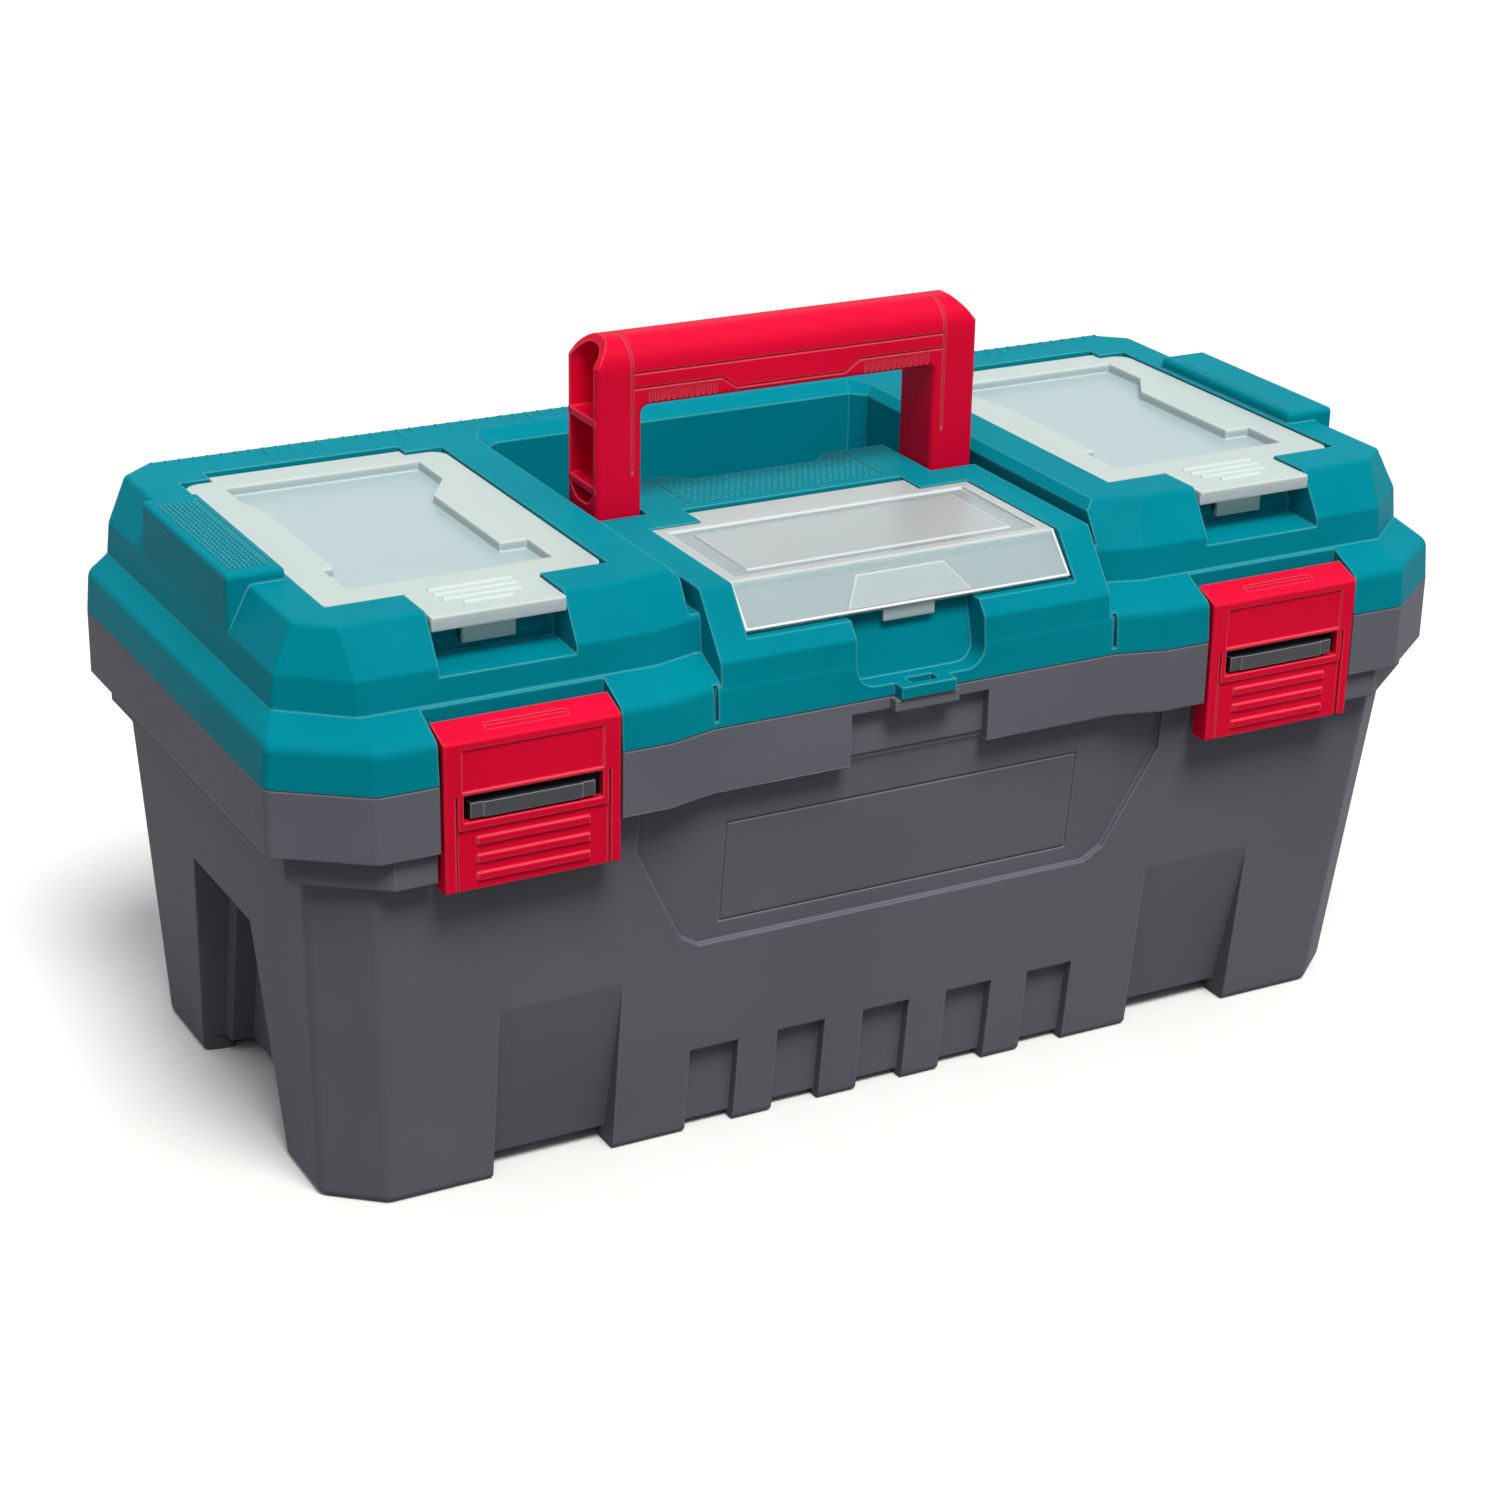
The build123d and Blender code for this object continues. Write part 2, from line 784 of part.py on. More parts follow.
def centre_bin(grow):
    """Bin in the centre block, the seat of its cover and the slot of the cover hinge."""
    room = fit_gap + grow
    back, fold, nose = cover_line(cover_thickness + cover_floor_gap + grow)
    seat = [
        (room - centre_cover_back, open_top),
        (room - centre_cover_back, back[1]),
        fold,
        nose,
        (-latch_front, nose[1]),
        (-latch_front, open_top),
    ]
    bar_along_x(seat, -centre_cover_half - room, centre_cover_half + room, mode=Mode.SUBTRACT)
    slot_back = centre_pin_y + cover_barrel_radius + cover_swing_gap + grow
    block((-centre_hinge_half - room, centre_hinge_half + room),
          (-centre_cover_back, slot_back), (back[1], open_top), mode=Mode.SUBTRACT)
    block((-centre_hinge_half - room, centre_hinge_half + room),
          (centre_pin_y - cover_barrel_radius - room, slot_back),
          (centre_pin_z - cover_barrel_radius - room, open_top), mode=Mode.SUBTRACT)
    bin_half = centre_cover_half - centre_bin_seat + grow
    block((-bin_half, bin_half),
          (centre_bin_seat - centre_cover_fold - grow, grow - centre_cover_back - centre_bin_seat),
          (bin_floor - grow, open_top), mode=Mode.SUBTRACT)


def lid_cuts(grow):
    trough(grow)
    side_bins(grow)
    tab_pockets(grow)
    lid_latch_notches(grow)
    centre_bin(grow)
    knuckle_clearance(tub_stations, grow)


with BuildPart() as grown_pocket:
    front_pocket(lid_wall)

with BuildPart() as lid_hollow:
    skirt_blend(lid_wall, lid_bottom - cut_over)
    tower_blend(lid_wall)
    channel(lid_wall)
    centre_block(lid_wall, lid_bottom - cut_over)
    lid_cuts(lid_wall)
    add(grown_pocket.part, mode=Mode.SUBTRACT)

with BuildPart() as skirt_form:
    skirt_blend(0, lid_bottom)
    fillet(skirt_form.edges().group_by(Axis.Z)[1:4], rim_round)

with BuildPart() as tower_form:
    tower_blend(0)
    fillet(tower_form.edges().group_by(Axis.Z)[1:], tower_round)

with BuildPart() as centre_form:
    centre_block(0, lid_bottom)
    cross_edges = centre_form.edges().filter_by(Axis.X).group_by(Axis.Z)
    fillet([cross_edges[1][0], cross_edges[2].sort_by(Axis.Y)[0]], block_round)

with BuildPart() as pad_form:
    for side in (-1, 1):
        block((side * pad_inner, side * shoulder_half), (-pad_front, pad_back),
              (tower_shoulder, tower_top + pad_rise))
    fillet(pad_form.edges().group_by(Axis.Z)[1:], pad_round)

with BuildPart() as pocket_form:
    front_pocket(0)
    fillet(pocket_form.edges().filter_by(Axis.Y).group_by(Axis.Z)[0], pocket_round)

with BuildPart() as lid_shell:
    add(skirt_form.part)
    add(tower_form.part)
    channel(0)
    blend([
        (channel_outline(0), tower_top - channel_bevel, 0),
        (channel_outline(2), tower_top + channel_bevel, 0),
    ], mode=Mode.SUBTRACT)
    add(centre_form.part)
    add(pad_form.part)
    add(lid_hollow.part, mode=Mode.SUBTRACT)
    lid_cuts(0)
    add(pocket_form.part, mode=Mode.SUBTRACT)
    block((-lid_lock_tab_half, lid_lock_tab_half),
          (-centre_front - lid_lock_tab_reach, pocket_low_depth - centre_front), (lid_bottom, pocket_low))
    for side in (-1, 1):
        block((side * (step_start - slit_width), side * step_start),
              (-pod_front, slit_depth - centre_front), (lid_bottom + slit_rise, skirt_top),
              mode=Mode.SUBTRACT)
        snap_middle = side * (tab_inner + tab_outer) / 2
        block((snap_middle - snap_half, snap_middle + snap_half),
              (pocket_back - fit_gap, pocket_back + lid_wall + fit_gap),
              (tower_top - snap_low_drop, tower_top - snap_high_drop), mode=Mode.SUBTRACT)
        rod_along_x(handle_pin_radius + pin_gap, side * (leg_slot_inner - lid_wall - fit_gap),
                    side * (channel_half + lid_wall + fit_gap), -handle_pivot_back,
                    tower_top - handle_pivot_drop, mode=Mode.SUBTRACT)
        rod_along_x(latch_pin_radius + pin_gap, side * (latch_inner - latch_gap - lid_wall),
                    side * (latch_outer + latch_gap + lid_wall), latch_y, latch_z, mode=Mode.SUBTRACT)
        rod_along_x(cover_pin_radius + pin_gap, side * (cover_hinge_inner - fit_gap - lid_wall),
                    side * (cover_hinge_outer + fit_gap + lid_wall), cover_pin_y, cover_pin_z,
                    mode=Mode.SUBTRACT)
        pad_line = side * (pad_inner + pad_line_inset)
        block((pad_line, pad_line + side * fine_line), (-pad_line_front, pad_line_back),
              (tower_top + pad_rise - fine_line_depth, tower_top + pad_rise + cut_over), mode=Mode.SUBTRACT)
        block((side * strip_line_half, side * (strip_line_half + fine_line)),
              (-strip_line_front, strip_line_back), (panel_top - fine_line_depth, open_top),
              mode=Mode.SUBTRACT)
    centre_pin_half = centre_hinge_half + fit_gap + lid_wall
    rod_along_x(cover_pin_radius + pin_gap, -centre_pin_half, centre_pin_half, centre_pin_y, centre_pin_z,
                mode=Mode.SUBTRACT)
    with Locations((0, lock_hole_set_back - centre_front, pocket_low)):
        Box(lock_hole_length, lock_hole_width, 2 * (pocket_low - seam_height), mode=Mode.SUBTRACT)
    knuckles(lid_stations, gusset_drop)
    hinge_bores(lid_stations)
lid_shell.part.label = "lid_shell"
export_step(lid_shell.part, "parts/lid_shell.step")


# Rear hinge pins, held by the knuckles of the tub
def hinge_pin(side):
    with BuildPart() as pin:
        rod_along_x(hinge_pin_radius, side * hinge_group_x - tub_knuckle_end,
                    side * hinge_group_x + tub_knuckle_end, hinge_y, seam_height)
    return pin.part


# Handle: a bow with open-backed legs that fold back into the trough
leg_inner = leg_slot_inner + leg_gap
leg_outer = channel_half - leg_side_gap
handle_y = -handle_pivot_back
handle_z = tower_top - handle_pivot_drop
handle_front = handle_y - handle_depth / 2
handle_rear = handle_y + handle_depth / 2
grip_bottom = tower_top + grip_rise
handle_top = tower_top + handle_rise
handle_front_plane = Plane(origin=(0, handle_front, 0), x_dir=(1, 0, 0), z_dir=(0, -1, 0))
handle_rear_plane = Plane(origin=(0, handle_rear, 0), x_dir=(1, 0, 0), z_dir=(0, -1, 0))



def handle_side(x, low, inset):
    """Side view of the handle with its rounded top, from a height upwards."""
    with BuildSketch(Plane.YZ.offset(x)) as outline:
        with BuildLine():
            Polyline(
                (handle_front + inset, low), (handle_front + inset, handle_top - inset),
                (handle_rear - inset, handle_top - inset), (handle_rear - inset, low), close=True,
            )
        make_face()
        fillet(outline.vertices().group_by(Axis.Z)[-1], handle_top_round - inset)
    return outline.sketch


def engraved_line(points, plane, depth):
    """A narrow band cut along a run of points in the front view of the grip."""
    below = [(x, z - grip_line) for x, z in reversed(points)]
    extrude(face_at(points + below, plane), amount=depth, mode=Mode.SUBTRACT)


with BuildPart() as seam_cut:
    for side in (-1, 1):
        seam_x = side * (grip_seam_half - grip_line / 2)
        extrude(handle_side(seam_x, tower_top, 0), amount=side * grip_line)
        extrude(handle_side(seam_x, handle_z, grip_line_depth), amount=side * grip_line, mode=Mode.SUBTRACT)

with BuildPart() as carry_handle:
    with BuildSketch(handle_rear_plane) as bow:
        with BuildLine():
            Polyline(*both_sides([
                (leg_outer, handle_z),
                (leg_outer, handle_top - handle_corner_run_z),
                (leg_outer - handle_corner_run_x, handle_top),
            ]), close=True)
        make_face()
        with Locations((0, handle_z)):
            Rectangle(2 * leg_inner, 2 * (grip_bottom - handle_z), mode=Mode.SUBTRACT)
        fillet(bow.vertices().filter_by_position(Axis.Y, grip_bottom, grip_bottom), handle_inner_round)
    extrude(amount=handle_depth)
    bow_faces = carry_handle.faces().sort_by(Axis.Y)
    bow_edges = bow_faces[0].edges() + bow_faces[-1].edges()
    fillet(bow_edges.filter_by_position(Axis.Z, handle_z, handle_top, (False, True)), handle_round)
    extrude(handle_side(-leg_outer, handle_z - cut_over, 0), amount=2 * leg_outer, mode=Mode.INTERSECT)
    for side in (-1, 1):
        rod_along_x(handle_depth / 2, side * leg_inner, side * leg_outer, handle_y, handle_z)
        hollow_low = tower_top - leg_hollow_low
        hollow_high = handle_top - leg_wall
        hollow_x = side * (leg_outer - leg_hollow_depth)
        extrude(handle_side(hollow_x, hollow_low, leg_wall), amount=side * leg_hollow_depth,
                mode=Mode.SUBTRACT)
        for rib_share in leg_rib_shares:
            rib_low = hollow_low + rib_share * (hollow_high - hollow_low)
            block((hollow_x - side * leg_wall / 2, side * leg_outer),
                  (handle_front + leg_wall / 2, handle_rear - leg_wall / 2), (rib_low, rib_low + leg_rib))
        rod_along_x(handle_pin_radius + pin_gap, side * leg_inner, side * leg_outer, handle_y, handle_z,
                    mode=Mode.SUBTRACT)
    add(seam_cut.part, mode=Mode.SUBTRACT)
    for plane, depth in ((handle_front_plane, -grip_line_depth), (handle_rear_plane, grip_line_depth)):
        upper = tower_top + grip_upper_line
        lower = tower_top + grip_lower_line
        middle = tower_top + grip_middle_line
        engraved_line([(-grip_line_half, upper), (grip_line_half, upper)], plane, depth)
        engraved_line([
            (-grip_line_half, lower), (-grip_lower_half, lower), (-grip_middle_half, middle),
            (grip_middle_half, middle), (grip_lower_half, lower), (grip_line_half, lower),
        ], plane, depth)
        rib_span = grip_rib_pitch * (grip_rib_count - 1)
        with BuildSketch(plane) as ribbing:
            for side in (-1, 1):
                middle_x = side * (grip_rib_start + rib_span / 2)
                with Locations((middle_x, grip_bottom + grip_rib_lift + grip_rib_height / 2)):
                    with GridLocations(grip_rib_pitch, 0, grip_rib_count, 1):
                        Rectangle(grip_rib_width, grip_rib_height)
        extrude(ribbing.sketch, amount=depth * grip_rib_depth / grip_line_depth, mode=Mode.SUBTRACT)
carry_handle.part.label = "carry_handle"
export_step(carry_handle.part, "parts/carry_handle.step")


def handle_pin(side):
    """Pin through one leg, turning in the strip and in the tower wall."""
    with BuildPart() as pin:
        rod_along_x(handle_pin_radius, side * (leg_slot_inner - lid_wall), side * (channel_half + lid_wall),
                    handle_y, handle_z)
    return pin.part


# Side cover: a clear plate with a hinge barrel, a finger tab and a snap tongue
def side_cover(side):
    tab_front = -cover_front - tab_reach
    snap_middle = side * (tab_inner + tab_outer) / 2
    snap_rear = pocket_back - fit_gap
    snap_low = tower_top - snap_low_drop + fit_gap
    snap_high = tower_top - snap_high_drop - fit_gap
    with BuildPart() as cover:
        with BuildSketch(Plane.XY.offset(cover_bottom)) as plate:
            with Locations((side * (cover_inner + cover_outer) / 2, (cover_back - cover_front) / 2)):
                RectangleRounded(cover_outer - cover_inner, cover_front + cover_back, cover_round)
        extrude(plate.sketch, amount=cover_thickness)
        block((side * tab_inner, side * tab_outer), (tab_front, cover_round - cover_front),
              (cover_bottom, cover_top))
        block((side * tab_inner, side * tab_outer), (tab_front, tab_front + cover_thickness),
              (cover_top - tab_lip_drop, cover_top))
        block((side * cover_hinge_inner, side * cover_hinge_outer), (cover_back - cover_round, cover_pin_y),
              (cover_bottom, cover_top))
        rod_along_x(cover_barrel_radius, side * cover_hinge_inner, side * cover_hinge_outer,
                    cover_pin_y, cover_pin_z)
        rod_along_x(cover_pin_radius + pin_gap, side * cover_hinge_inner, side * cover_hinge_outer,
                    cover_pin_y, cover_pin_z, mode=Mode.SUBTRACT)
        block((snap_middle - snap_half + fit_gap, snap_middle + snap_half - fit_gap),
              (snap_rear - snap_thickness, snap_rear), (snap_low, cover_top))
        block((snap_middle - snap_half + fit_gap, snap_middle + snap_half - fit_gap),
              (snap_rear - snap_thickness, snap_rear + snap_bump), (snap_low, (snap_low + snap_high) / 2))
        low_x, high_x = sorted((side * cover_inner, side * cover_outer))
        low_x += window_inset
        high_x -= window_inset
        window = [
            (low_x, window_front_inset - cover_front),
            (high_x, window_front_inset - cover_front),
            (high_x, -window_bar_front),
            (high_x - window_bar_reach, -window_bar_front),
            (high_x - window_bar_reach, window_bar_back),
            (high_x, window_bar_back + window_bar_slope),
            (high_x, cover_back - window_back_inset),
            (low_x, cover_back - window_back_inset),
            (low_x, window_thin_bar_back + window_bar_slope),
            (low_x + window_thin_bar_reach, window_thin_bar_back),
            (low_x + window_thin_bar_reach, -window_bar_front),
            (low_x, -window_bar_front),
        ]
        prism(window, cover_top - window_depth - window_floor, cover_top, grow=window_floor)
        prism(window, cover_top - window_depth, open_top, mode=Mode.SUBTRACT)
    return cover.part


def side_cover_pin(side):
    with BuildPart() as pin:
        rod_along_x(cover_pin_radius, side * (cover_hinge_inner - fit_gap - lid_wall),
                    side * (cover_hinge_outer + fit_gap + lid_wall), cover_pin_y, cover_pin_z)
    return pin.part


# Centre cover: folded down at its front, with a bare raised plate on top
with BuildPart() as cover_centre:
    bar_along_x(cover_line(0) + cover_line(cover_thickness)[::-1], -centre_cover_half, centre_cover_half)
    block((-centre_hinge_half, centre_hinge_half), (-centre_cover_back - centre_bin_seat, centre_pin_y),
          (centre_cover_top - cover_thickness, centre_cover_top))
    rod_along_x(cover_barrel_radius, -centre_hinge_half, centre_hinge_half, centre_pin_y, centre_pin_z)
    rod_along_x(cover_pin_radius + pin_gap, -centre_hinge_half, centre_hinge_half, centre_pin_y, centre_pin_z,
                mode=Mode.SUBTRACT)
    panel_floor = centre_cover_top - centre_panel_depth
    block((centre_rim - centre_cover_half, centre_cover_half - centre_rim),
          (centre_rim - centre_cover_fold, -centre_cover_back - centre_rim),
          (panel_floor, open_top), mode=Mode.SUBTRACT)
    block((-centre_plate_half, centre_plate_half),
          (centre_plate_inset - centre_cover_fold, -centre_cover_back - centre_plate_inset),
          (centre_cover_top - cover_thickness, panel_floor + centre_plate_rise))
    inner_nose_y, inner_nose_z = cover_line(cover_thickness)[2]
    block((-centre_snap_half, centre_snap_half), (inner_nose_y, inner_nose_y + snap_thickness),
          (inner_nose_z - centre_snap_drop, inner_nose_z + cover_thickness))
cover_centre.part.label = "cover_centre"
export_step(cover_centre.part, "parts/cover_centre.step")

with BuildPart() as cover_pin_centre:
    rod_along_x(cover_pin_radius, -centre_pin_half, centre_pin_half, centre_pin_y, centre_pin_z)
cover_pin_centre.part.label = "cover_pin_centre"
export_step(cover_pin_centre.part, "parts/cover_pin_centre.step")


# Latch: a plate hung on a pin in the lid, whose window hooks under the catch bar of the tub
def latch(side):
    middle = side * latch_centre
    low_x = middle - latch_width / 2
    high_x = middle + latch_width / 2
    foot = seam_height - latch_foot_drop
    brow = seam_height + latch_brow_rise
    crown = seam_height + latch_crown_rise
    window_low = seam_height - latch_window_low_drop
    window_high = seam_height - latch_window_high_drop
    tongue_half = latch_width / 2 - latch_rail
    profile = [
        (-latch_front, foot),
        (-latch_front, brow),
        (latch_crown_run - latch_front, crown),
        (latch_crown_run - latch_front, crown - latch_thickness),
        (-latch_back, brow - latch_thickness * latch_fold_share),
        (-latch_back, foot),
    ]
    with BuildPart() as piece:
        bar_along_x(profile, low_x, high_x)
        front_face = piece.faces().sort_by(Axis.Y)[0]
        fillet(front_face.edges(), latch_round)
        crown_plane = Plane(
            origin=(middle, latch_crown_run / 2 - latch_front, (brow + crown) / 2), x_dir=(1, 0, 0),
            z_dir=(0, brow - crown, latch_crown_run),
        )
        with BuildSketch(crown_plane) as crown_slot:
            RectangleRounded(2 * latch_slot_half, latch_slot_width, latch_round)
        extrude(crown_slot.sketch, amount=-latch_slot_depth, mode=Mode.SUBTRACT)
        rod_along_x(latch_barrel_radius, low_x, high_x, latch_y, latch_z)
        for low, high in ((low_x, low_x + latch_rail), (high_x - latch_rail, high_x)):
            block((low, high), (-latch_back, latch_rail_depth - latch_back), (foot, window_high))
        for low, high in ((low_x, low_x + latch_flange), (high_x - latch_flange, high_x)):
            block((low, high), (-latch_back, latch_flange_depth - latch_back),
                  (foot, foot + latch_flange_height))
        block((middle - latch_window_half, middle + latch_window_half),
              (-latch_front - cut_over, fit_gap - latch_back), (window_low, window_high), mode=Mode.SUBTRACT)
        block((middle - latch_plate_half, middle + latch_plate_half),
              (-latch_front - cut_over, latch_plate_depth - latch_front),
              (seam_height - latch_plate_low_drop, seam_height + latch_plate_high_rise), mode=Mode.SUBTRACT)
        block((middle - tongue_half, middle + tongue_half),
              (-latch_front - cut_over, latch_rib_rise - latch_front),
              (foot - cut_over, window_low - latch_rib_height), mode=Mode.SUBTRACT)
        for groove_x in (middle - tongue_half, middle + tongue_half):
            block((groove_x - latch_groove / 2, groove_x + latch_groove / 2),
                  (-latch_front - cut_over, latch_rib_rise + latch_groove_depth - latch_front),
                  (foot - cut_over, window_high), mode=Mode.SUBTRACT)
        tongue_middle = (foot + window_low - latch_rib_height) / 2
        for index in range(latch_rib_count):
            lift = latch_rib_pitch * (index - (latch_rib_count - 1) / 2)
            with Locations((middle, latch_rib_rise / 2 - latch_front, tongue_middle + lift)):
                Box(2 * latch_rib_half, latch_rib_rise, latch_rib_height)
        rod_along_x(latch_pin_radius + pin_gap, low_x, high_x, latch_y, latch_z, mode=Mode.SUBTRACT)
    return piece.part


def latch_pin(side):
    with BuildPart() as pin:
        rod_along_x(latch_pin_radius, side * (latch_inner - latch_gap - lid_wall),
                    side * (latch_outer + latch_gap + lid_wall), latch_y, latch_z)
    return pin.part


def catch_bar(side):
    """Bar on the tub wall that stands in the latch window."""
    middle = side * latch_centre
    top = seam_height - bar_top_drop
    with BuildPart() as bar:
        block((middle - bar_half, middle + bar_half), (bar_set_back - latch_front, -bay_back),
              (top - bar_height, top))
        block((middle - bar_face_half, middle + bar_face_half),
              (bar_set_back - bar_face_rise - latch_front, -bay_back), (top - bar_height, top))
    return bar.part


# Lift-out tray, hung by end flanges on the shelf inside the collar
shelf = collar_bottom + tub_wall
tray_top = shelf + tray_flange
tray_bottom = tray_top - tray_height


def tray_outline(height, inset):
    half, front, back = tub_edge(shelf, tub_wall + tray_gap)
    lean = tray_draft * (tray_top - height) / tray_height
    half -= lean + inset
    front -= lean + inset + panel_depth
    back -= lean + inset
    return both_sides([
        (half - tub_corner_run_x, -front),
        (half, tub_corner_run_y - front),
        (half, back - tub_corner_run_y),
        (half - tub_corner_run_x, back),
    ])


with BuildPart() as tote_tray:
    blend([(tray_outline(tray_bottom, 0), tray_bottom, 0), (tray_outline(tray_top, 0), tray_top, 0)])
    blend([
        (tray_outline(tray_bottom + tray_wall, tray_wall), tray_bottom + tray_wall, 0),
        (tray_outline(tray_top + tray_wall, tray_wall), tray_top + tray_wall, 0),
    ], mode=Mode.SUBTRACT)
    tray_half = tub_edge(shelf, tub_wall + tray_gap)[0]
    tray_inner = tray_half - tray_draft - tray_wall
    block((-tray_inner, tray_inner), (-tray_wall / 2, tray_wall / 2),
          (tray_bottom, tray_top - tray_bar_height))
    block((-tray_bar_half, tray_bar_half), (-tray_wall / 2, tray_wall / 2),
          (tray_bottom, tray_top + tray_bar_height))
    with BuildSketch(Plane.XZ.offset(-tray_wall)) as hand_hole:
        with Locations((0, tray_top)):
            RectangleRounded(2 * tray_bar_hole_half, tray_bar_hole_height, tray_bar_hole_round)
    extrude(hand_hole.sketch, amount=2 * tray_wall, mode=Mode.SUBTRACT)
    tray_depth = tub_edge(shelf, tub_wall + tray_gap)[1] - panel_depth - tray_draft - tray_wall
    for side in (-1, 1):
        divider_x = side * tray_divider_share * tray_half
        block((divider_x - tray_wall / 2, divider_x + tray_wall / 2), (-tray_depth, tray_depth),
              (tray_bottom, tray_top - tray_bar_height))
        block((side * (tray_half - tray_wall), side * (tray_half + tray_gap + tray_flange_overlap)),
              (-tray_flange_half_depth, tray_flange_half_depth), (shelf, tray_top))
tote_tray.part.label = "tote_tray"
export_step(tote_tray.part, "parts/tote_tray.step")

# Pieces that come as a left and a right one
for side, hand in ((-1, "left"), (1, "right")):
    for name, make in (
        ("hinge_pin", hinge_pin), ("handle_pin", handle_pin), ("latch", latch), ("latch_pin", latch_pin),
        ("catch_bar", catch_bar), ("cover", side_cover), ("cover_pin", side_cover_pin),
    ):
        piece = make(side)
        piece.label = f"{name}_{hand}"
        export_step(piece, f"parts/{name}_{hand}.step")
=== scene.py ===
import math

import bmesh
import bpy
from mathutils import Matrix, Vector


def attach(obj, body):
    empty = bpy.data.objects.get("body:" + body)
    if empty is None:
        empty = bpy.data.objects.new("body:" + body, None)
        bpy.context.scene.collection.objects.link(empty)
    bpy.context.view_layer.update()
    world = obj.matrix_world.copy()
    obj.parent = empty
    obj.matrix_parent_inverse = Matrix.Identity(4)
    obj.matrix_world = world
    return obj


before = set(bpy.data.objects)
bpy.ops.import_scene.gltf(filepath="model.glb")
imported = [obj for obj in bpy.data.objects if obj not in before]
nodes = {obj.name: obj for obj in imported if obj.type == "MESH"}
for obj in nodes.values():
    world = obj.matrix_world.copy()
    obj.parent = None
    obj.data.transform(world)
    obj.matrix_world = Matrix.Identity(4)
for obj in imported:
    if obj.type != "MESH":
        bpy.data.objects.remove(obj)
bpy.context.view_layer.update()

mm = 0.001
polypropyleneIor = 1.49
scene = bpy.context.scene
scene.view_settings.view_transform = "Standard"
print("frame loaded with", len(nodes), "nodes")


# sRGB hex to the linear colour that a socket takes
def linear(hexCode):
    channels = [int(hexCode[i:i + 2], 16) / 255 for i in (1, 3, 5)]
    return [c / 12.92 if c <= 0.04045 else ((c + 0.055) / 1.055) ** 2.4 for c in channels] + [1.0]


# adds a node, its settings, and values or links on its inputs
def addNode(tree, kind, inputs=None, **settings):
    node = tree.nodes.new(kind)
    for key, value in settings.items():
        setattr(node, key, value)
    for socket, value in (inputs or {}).items():
        if isinstance(value, bpy.types.NodeSocket):
            tree.links.new(value, node.inputs[socket])
        else:
            node.inputs[socket].default_value = value
    return node


def newMaterial(name):
    material = bpy.data.materials.new(name)
    material.use_nodes = True
    material.node_tree.nodes.clear()
    return material, material.node_tree


# one for the rays that show a surface to the eye: straight, in gloss or through clear plastic
def seenByEye(tree):
    path = addNode(tree, "ShaderNodeLightPath").outputs
    seen = path["Is Camera Ray"]
    for ray in ("Is Glossy Ray", "Is Transmission Ray"):
        seen = addNode(tree, "ShaderNodeMath", {0: seen, 1: path[ray]}, operation="MAXIMUM").outputs["Value"]
    return seen


